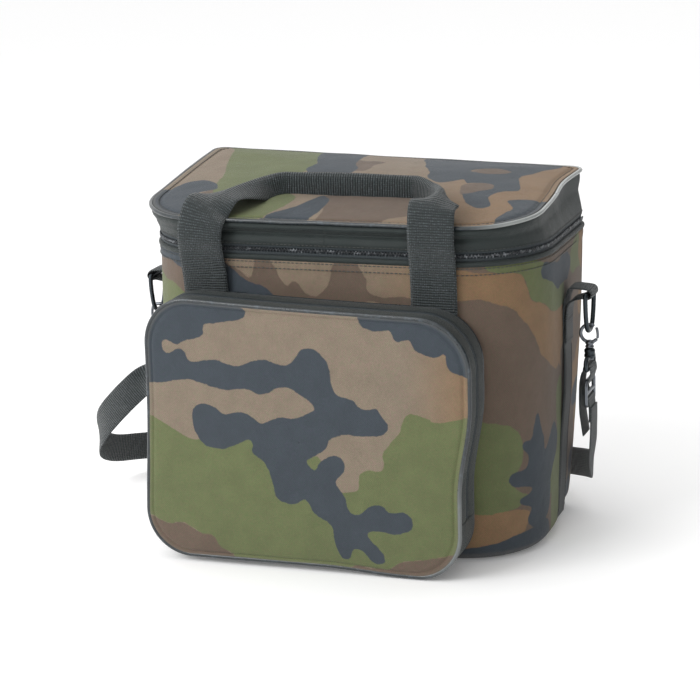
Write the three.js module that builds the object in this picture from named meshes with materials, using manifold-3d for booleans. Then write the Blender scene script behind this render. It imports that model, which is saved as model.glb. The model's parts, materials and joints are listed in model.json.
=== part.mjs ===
// Insulated cooler bag: a soft box with a zipped, rear-hinged lid, a zipped front pocket,
// two webbing carrying handles and a clip-on shoulder strap.
// Millimetres, +Z up. The origin is the centre of the flat base.
// The front faces -Y, and +X is to the right as seen from the front.

import * as THREE from "three";
import { mergeVertices } from "three/addons/utils/BufferGeometryUtils.js";
import Module from "manifold-3d";

// ---- driving dimensions ----
const GAP = 0.3; // clearance between touching pieces
const BODY = { width: 335, depth: 200, frontRadius: 75, backRadius: 24, bottom: 12, top: 246 };
const SKIN = 1.6; // outer fabric with its backing
const FOAM = 5; // insulation
const LINER = 1.2; // foil liner
const CORNER_STEPS = 7; // straight steps in each rounded corner

const RIM = { z: BODY.top + GAP, height: 4, outset: 0.8, cover: 9 };
const ZIP = { tape: 4, outset: 0.4, depth: 4 }; // one half of a zip: its height and its width across
const LID = { width: 338, depth: 203, frontRadius: 60, backRadius: 16, front: 276, rise: 25, board: 4 };
const PIPING = 2.2; // radius of the piping cord
const WEB = { width: 38, thick: 2.4 }; // handle webbing
const HANDLE = { x: -7, spacing: 192, pivotZ: 250.5, pivotOut: 5.5 };
const POCKET = {
  x: -11, width: 272, bottom: 6, top: 213, radius: 35,
  front: 142.8, back: 103.2, split: 122, // depths from the middle; the zip runs at the split
};
const POCKET_ZIP_END = POCKET.bottom + POCKET.radius + 6; // the zip stops above the lower corners
const SIDE = { y: 12, width: 26, thick: 1.6, tabZ: 206, tabOut: { left: 27, right: 21 } }; // webbing and ring tab
const WIRE = 2; // radius of the ring and eye wire
const SLIDER = { mainY: 50, pocketZ: 62 }; // both zips closed, with their sliders on the left

const wasm = await Module();
wasm.setup();

// ---- materials ----
const material = (name, colour, roughness, metalness = 0) => {
  const m = new THREE.MeshStandardMaterial({ color: colour, roughness, metalness });
  m.name = name;
  return m;
};
const CAMO = material("camo_fabric", 0x6b6850, 0.9);
const BLACK = material("black_fabric", 0x2b2f33, 0.8);
const WEBBING = material("black_webbing", 0x25282b, 0.85);
const TRIM = material("piping", 0x2e3236, 0.45);
const FOIL = material("foil_liner", 0xc9ccd0, 0.35, 0.6);
const FOAM_WHITE = material("foam", 0xe6e6e0, 0.95);
const BOARD = material("base_board", 0x303234, 0.7);
const ZIPPER = material("zip_coil", 0x3a3e42, 0.5);
const STEEL = material("nickel_hardware", 0xb8babd, 0.3, 1);
const PLASTIC = material("black_plastic", 0x1c1e20, 0.45);

// ---- helpers ----
const bag = new THREE.Group();
bag.name = "cooler_bag";

function add(name, geometry, look) {
  const mesh = new THREE.Mesh(geometry, look);
  mesh.name = name;
  bag.add(mesh);
  return mesh;
}

function toSolid(geometry) {
  const g = geometry.index ? geometry.toNonIndexed() : geometry.clone();
  g.deleteAttribute("normal");
  g.deleteAttribute("uv");
  const merged = mergeVertices(g, 1e-4);
  return new wasm.Manifold(
    new wasm.Mesh({
      numProp: 3,
      vertProperties: new Float32Array(merged.attributes.position.array),
      triVerts: new Uint32Array(merged.index.array),
    }),
  );
}

function toGeometry(solid) {
  const { vertProperties, triVerts } = solid.getMesh();
  const g = new THREE.BufferGeometry();
  g.setAttribute("position", new THREE.BufferAttribute(new Float32Array(vertProperties), 3));
  g.setIndex(new THREE.BufferAttribute(new Uint32Array(triVerts), 1));
  g.computeVertexNormals();
  return g;
}

const join = (...parts) => toGeometry(parts.map(toSolid).reduce((a, b) => a.add(b)));
const cut = (body, ...tools) =>
  toGeometry(tools.map(toSolid).reduce((a, b) => a.subtract(b), toSolid(body)));

function box(x0, x1, y0, y1, z0, z1) {
  const g = new THREE.BoxGeometry(x1 - x0, y1 - y0, z1 - z0);
  return g.translate((x0 + x1) / 2, (y0 + y1) / 2, (z0 + z1) / 2);
}

// A cylinder between two points on one line.
function rod(from, to, radius, steps = 16) {
  const a = new THREE.Vector3(...from);
  const b = new THREE.Vector3(...to);
  const g = new THREE.CylinderGeometry(radius, radius, a.distanceTo(b), steps);
  const along = b.clone().sub(a).normalize();
  const turn = new THREE.Quaternion().setFromUnitVectors(new THREE.Vector3(0, 1, 0), along);
  return g.applyQuaternion(turn).translate(...a.add(b).multiplyScalar(0.5).toArray());
}

function extrude(shape, length, bevel = 0, steps = CORNER_STEPS) {
  const g = new THREE.ExtrudeGeometry(shape, {
    depth: length - 2 * bevel,
    curveSegments: steps,
    bevelEnabled: bevel > 0,
    bevelThickness: bevel,
    bevelSize: bevel,
    bevelOffset: -bevel,
    bevelSegments: 1,
  });
  return g.translate(0, 0, bevel);
}

// Shapes drawn in the plan (x, y) stand up along Z; those drawn in the front view (x, z) run along Y;
// those drawn in the side view (y, z) run along X.
const standing = (shape, z0, z1, bevel, steps) => extrude(shape, z1 - z0, bevel, steps).translate(0, 0, z0);
const alongY = (shape, y0, y1, bevel, steps) =>
  extrude(shape, y1 - y0, bevel, steps).rotateX(Math.PI / 2).translate(0, y1, 0);
const alongX = (shape, x0, x1, bevel, steps) =>
  extrude(shape, x1 - x0, bevel, steps).rotateX(Math.PI / 2).rotateZ(Math.PI / 2).translate(x0, 0, 0);

// A rounded rectangle's corner arcs, as [centre x, centre y, radius, start angle], counter-clockwise.
function corners(x0, x1, y0, y1, radii) {
  const [bl, br, tr, tl] = radii;
  return [
    [x0 + bl, y0 + bl, bl, Math.PI],
    [x1 - br, y0 + br, br, 1.5 * Math.PI],
    [x1 - tr, y1 - tr, tr, 0],
    [x0 + tl, y1 - tl, tl, 0.5 * Math.PI],
  ];
}

function roundedPath(x0, x1, y0, y1, radii, path = new THREE.Path()) {
  for (const [cx, cy, r, start] of corners(x0, x1, y0, y1, radii)) {
    path.absarc(cx, cy, r, start, start + Math.PI / 2, false);
  }
  path.closePath();
  return path;
}

const roundedShape = (x0, x1, y0, y1, radii) => roundedPath(x0, x1, y0, y1, radii, new THREE.Shape());

// An ellipse as a plain polygon.
function ellipse(cx, cy, rx, ry, steps, kind = THREE.Shape) {
  const turn = (i) => (2 * Math.PI * i) / steps;
  const points = Array.from({ length: steps }, (_, i) => i);
  return new kind(
    points.map((i) => new THREE.Vector2(cx + rx * Math.cos(turn(i)), cy + ry * Math.sin(turn(i)))),
  );
}

// The plan outline of the body or lid, moved inwards by inset.
function plan(size, inset, kind = roundedShape) {
  const w = size.width / 2 - inset;
  const d = size.depth / 2 - inset;
  const f = Math.max(size.frontRadius - inset, 1);
  const b = Math.max(size.backRadius - inset, 1);
  return kind(-w, w, -d, d, [f, f, b, b]);
}

function planRing(size, outer, inner) {
  const shape = plan(size, outer);
  shape.holes.push(plan(size, inner, roundedPath));
  return shape;
}

// Points along the left side, the front and the right side, from the left rear to the right rear.
function frontRun(size, inset, rear) {
  const w = size.width / 2 - inset;
  const d = size.depth / 2 - inset;
  const r = size.frontRadius - inset;
  const path = new THREE.Path();
  path.moveTo(-w, rear);
  path.absarc(-w + r, -d + r, r, Math.PI, 1.5 * Math.PI, false);
  path.absarc(w - r, -d + r, r, 1.5 * Math.PI, 2 * Math.PI, false);
  path.lineTo(w, rear);
  return path.getPoints(CORNER_STEPS);
}

// A wall of the given thickness along the two sides and the front, open at the back.
function frontWall(size, outer, inner, rear) {
  return new THREE.Shape([...frontRun(size, outer, rear), ...frontRun(size, inner, rear).reverse()]);
}

// Raises the points above a level by the lid's slope, which runs from the front edge to the rear edge.
function slope(geometry, above = -Infinity) {
  const p = geometry.attributes.position;
  for (let i = 0; i < p.count; i += 1) {
    if (p.getZ(i) > above) {
      p.setZ(i, p.getZ(i) + LID.rise * (0.5 + p.getY(i) / LID.depth));
    }
  }
  geometry.computeVertexNormals();
  return geometry;
}

// The pocket outline in the front view, moved inwards by inset.
function pocketOutline(inset, kind = roundedShape) {
  const w = POCKET.width / 2 - inset;
  const r = POCKET.radius - inset;
  return kind(POCKET.x - w, POCKET.x + w, POCKET.bottom + inset, POCKET.top - inset, [r, r, r, r]);
}

function pocketRing(outer, inner) {
  const shape = pocketOutline(outer);
  shape.holes.push(pocketOutline(inner, roundedPath));
  return shape;
}

// ---- body: outer fabric, base, insulation and liner ----
function makeBody() {
  const backStart = BODY.depth / 2 - BODY.backRadius;
  add("body_wrap", standing(frontWall(BODY, 0, SKIN, backStart - GAP), BODY.bottom, BODY.top), CAMO);

  const half = BODY.width / 2;
  const back = new THREE.Shape();
  back.moveTo(half, backStart);
  back.absarc(half - BODY.backRadius, backStart, BODY.backRadius, 0, Math.PI / 2, false);
  back.absarc(-half + BODY.backRadius, backStart, BODY.backRadius, Math.PI / 2, Math.PI, false);
  back.lineTo(-half + SKIN, backStart);
  back.absarc(-half + BODY.backRadius, backStart, BODY.backRadius - SKIN, Math.PI, Math.PI / 2, true);
  back.absarc(half - BODY.backRadius, backStart, BODY.backRadius - SKIN, Math.PI / 2, 0, true);
  back.closePath();
  add("back_panel", standing(back, BODY.bottom, BODY.top), CAMO);

  // The base is a shallow tray with a rounded lower edge; the stiffening board lies in it.
  const round = 8;
  const floor = 4;
  const slab = standing(plan(BODY, 0), 0, 3 * round, round);
  const above = box(-BODY.width, BODY.width, -BODY.depth, BODY.depth, BODY.bottom - GAP, 4 * round);
  const well = standing(plan(BODY, 6), floor, 3 * round);
  add("bottom_panel", cut(slab, above, well, standing(plan(BODY, SKIN), round, 3 * round)), BLACK);
  add("base_board", standing(plan(BODY, 6 + GAP), floor + GAP, floor + GAP + 3), BOARD);

  const foamOut = SKIN + GAP;
  const foamIn = foamOut + FOAM;
  const foamZ = round + GAP;
  const foamFloor = foamZ + FOAM;
  add("insulation_tub", join(
    standing(plan(BODY, foamOut), foamZ, foamFloor),
    standing(planRing(BODY, foamOut, foamIn), foamFloor - 1, BODY.top),
  ), FOAM_WHITE);

  const linerOut = foamIn + GAP;
  const linerIn = linerOut + LINER;
  const linerZ = foamFloor + GAP;
  add("liner_tub", join(
    standing(plan(BODY, linerOut), linerZ, linerZ + LINER),
    standing(planRing(BODY, linerOut, linerIn), linerZ + LINER / 2, BODY.top),
  ), FOIL);

  const rimTop = RIM.z + RIM.height;
  add("rim_binding", standing(planRing(BODY, -RIM.outset, RIM.cover), RIM.z, rimTop), BLACK);
  return rimTop;
}

// ---- lid: padded top, upright band, piping, upper zip half and the fabric hinge ----
function makeLid(rimTop) {
  const lowerZip = rimTop + GAP;
  const upperZip = lowerZip + ZIP.tape + 0.4;
  const bandBottom = upperZip + ZIP.tape + GAP;
  const zipRear = BODY.depth / 2 - BODY.backRadius;
  const zipWall = frontWall(BODY, -ZIP.outset, ZIP.depth, zipRear);
  add("main_zip_lower", standing(zipWall, lowerZip, lowerZip + ZIP.tape), ZIPPER);
  add("main_zip_upper", standing(zipWall, upperZip, upperZip + ZIP.tape), ZIPPER);

  const pipeZ = LID.front;
  const bandTop = LID.front - GAP;
  const band = standing(planRing(LID, 0, 2), bandBottom, bandTop);
  add("lid_band", slope(band, bandTop - 1), BLACK);
  add("lid_piping", slope(standing(planRing(LID, -PIPING, PIPING), pipeZ, pipeZ + 2 * PIPING, 1.3)), TRIM);
  add("lid_panel", slope(standing(plan(LID, PIPING + GAP), LID.front, LID.front + LID.board, 1.2)), CAMO);

  const foamTop = LID.front - GAP;
  add("lid_foam", slope(standing(plan(LID, 5), foamTop - FOAM, foamTop)), FOAM_WHITE);
  const linerTop = foamTop - FOAM - GAP;
  add("lid_liner", slope(standing(plan(LID, 5), linerTop - LINER, linerTop)), FOIL);

  const hingeY = LID.depth / 2 + 0.4;
  const hingeTop = LID.front + LID.rise - PIPING - 1;
  add("lid_hinge_strip", box(-125, 125, hingeY, hingeY + 1.2, rimTop + 4, hingeTop), BLACK);
}

// ---- front pocket: a gusset split by the zip, and a flap that folds down ----
function makePocket() {
  const { front, back, split } = POCKET;
  const wall = 1.6;
  const panelBack = front - 4;
  const gussetFront = panelBack - 1.8;
  const wide = POCKET.width;
  const upper = (y0, y1) => box(POCKET.x - wide, POCKET.x + wide, -y1, -y0, POCKET_ZIP_END, POCKET.top + 20);

  const whole = alongY(pocketRing(0, wall), -gussetFront, -back);
  add("pocket_gusset", cut(whole, upper(split - 2.9, front)), BLACK);

  const zipHalf = (y0, y1) => {
    const ring = alongY(pocketRing(-ZIP.outset, 2.6), -y1, -y0);
    const low = box(POCKET.x - wide, POCKET.x + wide, -y1 - 1, -y0 + 1, -10, POCKET_ZIP_END + GAP);
    return cut(ring, low);
  };
  add("pocket_zip_rear", zipHalf(split - 2.6, split - 0.3), ZIPPER);
  add("pocket_zip_front", zipHalf(split + 0.3, split + 2.6), ZIPPER);

  const frontHalf = alongY(pocketRing(0, wall), -(panelBack - GAP), -(split + 2.9));
  add("pocket_gusset_front", cut(frontHalf, box(
    POCKET.x - wide, POCKET.x + wide, -front - 5, -split, -10, POCKET_ZIP_END + GAP,
  )), BLACK);

  add("pocket_piping", alongY(pocketRing(-PIPING, PIPING), -front - 0.4, -panelBack, 1.3), TRIM);
  add("pocket_panel", alongY(pocketOutline(PIPING + GAP), -front, -panelBack, 1.2), CAMO);
}

// ---- handles ----
// Each leg is a flat strip of webbing: a sewn length on the body, and a free length that carries the grip.
function makeHandles() {
  const front = -BODY.depth / 2;
  const pivot = front - HANDLE.pivotOut;
  const sides = [["left", HANDLE.x - HANDLE.spacing / 2], ["right", HANDLE.x + HANDLE.spacing / 2]];
  const half = WEB.width / 2;
  const sewnTop = BODY.top - GAP;

  for (const [side, x] of sides) {
    const x0 = x - half;
    const x1 = x + half;
    add(`front_leg_${side}`, box(x0, x1, front - GAP - WEB.thick, front - GAP, 40, sewnTop), WEBBING);
    const rear = -front + GAP;
    add(`rear_leg_${side}`, box(x0, x1, rear, rear + WEB.thick, 40, sewnTop - 3), WEBBING);
  }

  // The front handle stands up past the lid's edge, leans back over the lid and ends in a folded grip.
  const t = WEB.thick / 2;
  const grip = { y: -45, z: 300, wide: 10, tall: 8.5 };
  const lean = new THREE.Shape([
    [pivot - t, HANDLE.pivotZ + 1.5],
    [pivot + t, HANDLE.pivotZ + 1.5],
    [pivot + t, 283],
    [pivot + t + 6, 290.5],
    [grip.y, grip.z - t],
    [grip.y, grip.z + t],
    [pivot + t + 5, 293],
    [pivot - t, 285],
  ].map(([y, z]) => new THREE.Vector2(y, z)));
  const frontLegs = sides.map(([, x]) => alongX(lean, x - half, x + half));
  const bar = alongX(ellipse(0, 0, grip.wide, grip.tall, 16), sides[0][1], sides[1][1]);
  add("front_handle", join(...frontLegs, bar.clone().translate(0, grip.y, grip.z)), WEBBING);

  // The rear handle hangs down flat behind the bag.
  const rearPivot = -pivot;
  const rearTop = HANDLE.pivotZ - 4.5 - 1.5;
  const drop = 105;
  const rearLegs = sides.map(([, x]) =>
    box(x - half, x + half, rearPivot - t, rearPivot + t, rearTop - drop, rearTop));
  const rearBar = bar.clone().rotateX(Math.PI / 2).translate(0, rearPivot + 7, rearTop - drop);
  add("rear_handle", join(...rearLegs, rearBar), WEBBING);
}

// ---- side webbing, rings, snap hooks and swivel eyes ----
function makeSide(side, s) {
  const skin = BODY.width / 2 + GAP;
  const ringX = BODY.width / 2 + SIDE.tabOut[side];
  const yLow = SIDE.y - SIDE.width / 2;
  const yHigh = SIDE.y + SIDE.width / 2;
  const at = (x, z) => new THREE.Vector2(s * x, z);

  const tab = new THREE.Shape([
    at(skin, 14),
    at(skin + SIDE.thick, 14),
    at(skin + SIDE.thick, SIDE.tabZ + 2),
    at(ringX - 4, SIDE.tabZ - 4.6),
    at(ringX + 2, SIDE.tabZ - 4.6),
    at(ringX + 4.6, SIDE.tabZ),
    at(ringX + 2, SIDE.tabZ + 4.6),
    at(ringX - 4, SIDE.tabZ + 5.5),
    at(skin + SIDE.thick, SIDE.tabZ + 16),
    at(skin, SIDE.tabZ + 16),
  ]);
  tab.holes.push(ellipse(s * ringX, SIDE.tabZ, WIRE + 0.7, WIRE + 0.7, 16, THREE.Path));
  add(`${side}_side_webbing`, alongY(tab, yLow, yHigh), WEBBING);

  // The ring hangs from its straight bar, which passes through the tab.
  const ringHalf = 18;
  const ringLow = SIDE.tabZ - 32;
  const wireRing = (half, z0, z1, low, high) => {
    const outer = roundedShape(SIDE.y - half, SIDE.y + half, z0 - WIRE, z1 + WIRE, [low, low, high, high]);
    const inner = [low, low, high, high].map((r) => Math.max(r - 2 * WIRE, 0.5));
    const half2 = half - 2 * WIRE;
    outer.holes.push(roundedPath(SIDE.y - half2, SIDE.y + half2, z0 + WIRE, z1 - WIRE, inner));
    return alongX(outer, s * ringX - WIRE, s * ringX + WIRE, 1.2, 4);
  };
  add(`${side}_ring`, wireRing(ringHalf, ringLow, SIDE.tabZ, 13, 4.5), STEEL);

  // The snap hook's jaw holds the ring's lower wire; its pin turns in the eye's collar.
  const jaw = { in: 6, out: 9, z: ringLow - 2.9, from: 62, to: 322, thick: 5 };
  const deg = Math.PI / 180;
  const around = (r, a) => at(ringX + r * Math.cos(a * deg), jaw.z + r * Math.sin(a * deg));
  const angles = Array.from({ length: 13 }, (_, i) => jaw.from + (i * (jaw.to - jaw.from)) / 12);
  const jawShape = new THREE.Shape([
    ...angles.map((a) => around(jaw.out, a)),
    ...angles.reverse().map((a) => around(jaw.in, a)),
  ]);
  const x = s * ringX;
  const stemTop = jaw.z - jaw.in - 1;
  const collar = { low: stemTop - 12.5, high: stemTop - 5.5, bore: 2.5, radius: 4.6 };
  const y = SIDE.y;
  add(`${side}_hook`, join(
    alongY(jawShape, y - jaw.thick / 2, y + jaw.thick / 2),
    rod([x, y, collar.high + 0.4], [x, y, stemTop], 3.8),
    rod([x, y, collar.low - 1], [x, y, collar.high + 1], 2),
    rod([x, y, collar.low - 2.8], [x, y, collar.low - 0.4], 3.6),
  ), STEEL);

  const gateMid = (jaw.in + jaw.out) / 2;
  add(`${side}_gate`, capsule(around(gateMid, -27), around(gateMid, 40), 1.1, y - 1.8, y + 1.8), STEEL);

  const eyeLow = collar.low - 9;
  const eye = wireRing(16.5, eyeLow, collar.low + WIRE, 4, 4);
  add(`${side}_eye`, cut(
    join(eye, rod([x, y, collar.low], [x, y, collar.high], collar.radius)),
    rod([x, y, collar.low - 6], [x, y, collar.high + 5], collar.bore),
  ), STEEL);
  return { x, y, eyeBottom: eyeLow - WIRE };
}

// A flat bar with round ends between two points of the front view.
function capsule(a, b, radius, y0, y1) {
  const along = Math.atan2(b.y - a.y, b.x - a.x);
  const shape = new THREE.Shape();
  shape.absarc(a.x, a.y, radius, along + Math.PI / 2, along + 1.5 * Math.PI, false);
  shape.absarc(b.x, b.y, radius, along - Math.PI / 2, along + Math.PI / 2, false);
  shape.closePath();
  return alongY(shape, y0, y1, 0, 5);
}

// ---- shoulder strap: a free length of webbing from the left eye to the adjuster under the right eye ----
// The route bows out beside the bag on the left, passes behind it and comes round its right rear corner.
const STRAP_ROUTE = [
  [-194.5, 12, 140], [-194.5, 12, 130], [-199, 12, 120], [-211, 12, 110], [-235, 13, 88], [-256, 19, 65],
  [-266, 32, 44], [-264, 54, 31], [-250, 84, 25], [-226, 112, 22], [-192, 134, 20], [-146, 148, 18.5],
  [-90, 156, 17.5], [-30, 160, 17], [30, 158, 17.5], [84, 150, 20], [129, 132, 25], [161, 104, 32],
  [176, 75, 40], [183, 47, 51], [188, 25, 66], [191, 14, 81], [191.9, 12, 96], [191.9, 12, 110],
];

function makeStrap(left, right) {
  const points = STRAP_ROUTE.map((p) => new THREE.Vector3(...p));
  const radius = 4;
  points[0].z = left.eyeBottom - GAP;
  const adjuster = { high: right.eyeBottom - 6, tall: 24, wide: 33, bar: 3.2 };
  const low = adjuster.high - adjuster.tall;
  points[points.length - 1].z = low - GAP;
  add("shoulder_strap", new THREE.ExtrudeGeometry(ellipse(0, 0, radius, radius, 8), {
    steps: 70,
    bevelEnabled: false,
    extrudePath: new THREE.CatmullRomCurve3(points, false, "centripetal"),
  }), WEBBING);

  // The adjuster is a flat three-bar slide.
  const y0 = right.y - adjuster.wide / 2;
  const y1 = right.y + adjuster.wide / 2;
  const frame = roundedShape(y0, y1, low, adjuster.high, [3, 3, 3, 3]);
  const middle = (low + adjuster.high) / 2;
  const window = (z0, z1) => roundedPath(y0 + adjuster.bar, y1 - adjuster.bar, z0, z1, [1, 1, 1, 1]);
  frame.holes.push(window(low + adjuster.bar, middle - adjuster.bar / 2));
  frame.holes.push(window(middle + adjuster.bar / 2, adjuster.high - adjuster.bar));
  add("strap_adjuster", alongX(frame, right.x - 1.6, right.x + 1.6, 0, 3), PLASTIC);
  add("strap_return", box(
    right.x - 1.5, right.x + 1.5, right.y - 12.5, right.y + 12.5, adjuster.high + GAP, right.eyeBottom - GAP,
  ), WEBBING);
}

// ---- zip sliders and pulls ----
// Both are drawn around the slider's own centre, facing -Y, and then turned into place.
function makeSlider(name, place) {
  const plate = box(-5.5, 5.5, -3.1, -0.3, -4.2, 4.2);
  const lug = box(-1.2, 1.2, -6.2, -3, -0.2, 2.8);
  add(`${name}_slider`, place(join(plate, lug)), ZIPPER);
  const outline = new THREE.Shape([[-3.6, -20], [3.6, -20], [3.2, 4.6], [-3.2, 4.6]].map(([a, b]) =>
    new THREE.Vector2(a, b)));
  const eye = new THREE.Path([[-2.2, -1.9], [2.2, -1.9], [2.2, 3.9], [-2.2, 3.9]].map(([a, b]) =>
    new THREE.Vector2(a, b)));
  outline.holes.push(eye);
  add(`${name}_pull`, place(alongY(outline, -5.4, -3.8)), ZIPPER);
}

const rimTop = makeBody();
makeLid(rimTop);
makePocket();
makeHandles();
const left = makeSide("left", -1);
const right = makeSide("right", 1);
makeStrap(left, right);
const zipLine = rimTop + GAP + ZIP.tape;
const leftFace = -BODY.width / 2 - ZIP.outset;
makeSlider("main", (g) => g.rotateZ(-Math.PI / 2).translate(leftFace, SLIDER.mainY, zipLine));
const pocketSide = POCKET.x - POCKET.width / 2 - ZIP.outset;
makeSlider("pocket", (g) => g.rotateZ(-Math.PI / 2).translate(pocketSide, -POCKET.split, SLIDER.pocketZ));

export default bag;
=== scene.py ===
"""Insulated cooler bag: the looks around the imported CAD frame. Metres, +Z up, the front faces -Y."""

import json
import math

import bpy
import numpy as np
from mathutils import Matrix, Vector, noise


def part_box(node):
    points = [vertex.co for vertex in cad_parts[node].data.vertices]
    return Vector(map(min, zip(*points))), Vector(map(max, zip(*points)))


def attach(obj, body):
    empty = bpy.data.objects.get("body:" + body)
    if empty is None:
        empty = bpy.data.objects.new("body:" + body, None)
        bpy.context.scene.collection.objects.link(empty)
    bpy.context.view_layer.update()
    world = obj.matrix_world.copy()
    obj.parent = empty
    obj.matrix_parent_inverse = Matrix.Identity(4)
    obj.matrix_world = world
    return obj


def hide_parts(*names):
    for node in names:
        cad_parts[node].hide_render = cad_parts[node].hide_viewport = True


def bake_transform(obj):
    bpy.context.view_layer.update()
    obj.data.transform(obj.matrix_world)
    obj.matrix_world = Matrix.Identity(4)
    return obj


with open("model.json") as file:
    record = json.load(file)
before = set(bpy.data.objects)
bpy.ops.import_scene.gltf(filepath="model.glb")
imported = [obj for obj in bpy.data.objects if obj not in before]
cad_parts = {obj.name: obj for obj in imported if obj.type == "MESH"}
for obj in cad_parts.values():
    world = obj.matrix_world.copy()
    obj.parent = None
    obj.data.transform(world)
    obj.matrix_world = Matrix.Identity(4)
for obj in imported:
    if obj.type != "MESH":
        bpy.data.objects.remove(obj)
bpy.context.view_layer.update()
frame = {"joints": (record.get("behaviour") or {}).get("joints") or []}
MM = 0.001


def cad(node):
    low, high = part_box(node)
    return np.array(low), np.array(high)


# ---- sizes taken from the frame ----
WRAP_LO, WRAP_HI = cad("body_wrap")
BACK_LO, BACK_HI = cad("back_panel")
LID_LO, LID_HI = cad("lid_panel")
BAND_LO, _ = cad("lid_band")
PIPE_LO, _ = cad("lid_piping")
PPIPE_LO, PPIPE_HI = cad("pocket_piping")
_, GUSSET_HI = cad("pocket_gusset")
ZIP_LO, ZIP_HI = cad("main_zip_lower")
UZIP_LO, UZIP_HI = cad("main_zip_upper")

HALF_W = WRAP_HI[0]
FRONT = WRAP_LO[1]
BACK = BACK_HI[1]
FRONT_R = 75 * MM
BACK_R = BACK_HI[1] - BACK_LO[1]
RIM_Z = cad("rim_binding")[1][2]
LID_RISE = 25 * MM
LID_RADII = (60 * MM, 9 * MM, 9 * MM, 60 * MM)
PIPE_R = 2.1 * MM
FABRIC = 1.4 * MM
JOINT = {j["name"]: j for j in frame["joints"]}


# ---- camera, lights and floor ----
def make_camera():
    """A long lens in front of the bag, a little to its right and above it."""
    azimuth, elevation, roll = math.radians(18.5), math.radians(13.9), math.radians(-1.5)
    distance, focal_px, size_px = 2.02, 2382.0, 700.0
    target = Vector((-0.016, 0.0, 0.149))
    back = Vector((
        math.sin(azimuth) * math.cos(elevation),
        -math.cos(azimuth) * math.cos(elevation),
        math.sin(elevation),
    ))
    right = Vector((math.cos(azimuth), math.sin(azimuth), 0.0))
    up = back.cross(right)
    x = right * math.cos(roll) + up * math.sin(roll)
    y = up * math.cos(roll) - right * math.sin(roll)
    data = bpy.data.cameras.new("camera")
    data.sensor_width = 36.0
    data.lens = focal_px / size_px * data.sensor_width
    data.clip_end = 50.0
    cam = bpy.data.objects.new("camera", data)
    bpy.context.scene.collection.objects.link(cam)
    turn = Matrix((x, y, back)).transposed().to_4x4()
    cam.matrix_world = Matrix.Translation(target + back * distance) @ turn
    bpy.context.scene.camera = cam


def area_light(name, place, aim, size, power):
    data = bpy.data.lights.new(name, "AREA")
    data.shape = "RECTANGLE"
    data.size, data.size_y = size
    data.energy = power
    light = bpy.data.objects.new(name, data)
    light.location = place
    light.rotation_euler = (Vector(aim) - Vector(place)).to_track_quat("-Z", "Y").to_euler()
    bpy.context.scene.collection.objects.link(light)


def make_studio():
    """A white floor, a white room and three soft lights."""
    mesh = bpy.data.meshes.new("floor")
    reach = 6.0
    corners = [(x * reach, y * reach, 0) for x, y in ((-1, -1), (1, -1), (1, 1), (-1, 1))]
    mesh.from_pydata(corners, [], [(0, 1, 2, 3)])
    floor = bpy.data.objects.new("floor", mesh)
    bpy.context.scene.collection.objects.link(floor)
    m = bpy.data.materials.new("floor_paint")
    m.use_nodes = True
    shader = m.node_tree.nodes["Principled BSDF"]
    shader.inputs["Base Color"].default_value = (0.96, 0.96, 0.96, 1)
    shader.inputs["Roughness"].default_value = 0.9
    shader.inputs["Emission Color"].default_value = (1, 1, 1, 1)
    shader.inputs["Emission Strength"].default_value = 0.12
    mesh.materials.append(m)
    make_world()
    area_light("key", (-1.3, -1.8, 1.6), (0, 0, 0.14), (1.3, 1.3), 35)
    area_light("fill", (1.9, -1.0, 1.0), (0, 0, 0.14), (1.6, 1.6), 1)
    area_light("top", (-0.2, 0.5, 2.2), (0, 0, 0.2), (1.5, 1.5), 5)
    bpy.context.scene.view_settings.view_transform = "Standard"


def make_world():
    """A white room with a dark screen on the right, which leaves that side of the bag in shade."""
    world = bpy.data.worlds.new("studio")
    world.use_nodes = True
    tree = world.node_tree
    direction = tree.nodes.new("ShaderNodeTexCoord")
    parts = tree.nodes.new("ShaderNodeSeparateXYZ")
    screen = tree.nodes.new("ShaderNodeMapRange")
    tree.links.new(direction.outputs["Generated"], parts.inputs[0])
    tree.links.new(parts.outputs[0], screen.inputs["Value"])
    for key, number in (("From Min", 0.1), ("From Max", 0.75), ("To Min", 1.12), ("To Max", 0.10)):
        screen.inputs[key].default_value = number
    tree.nodes["Background"].inputs["Color"].default_value = (1, 1, 1, 1)
    tree.links.new(screen.outputs["Result"], tree.nodes["Background"].inputs["Strength"])
    bpy.context.scene.world = world


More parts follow.
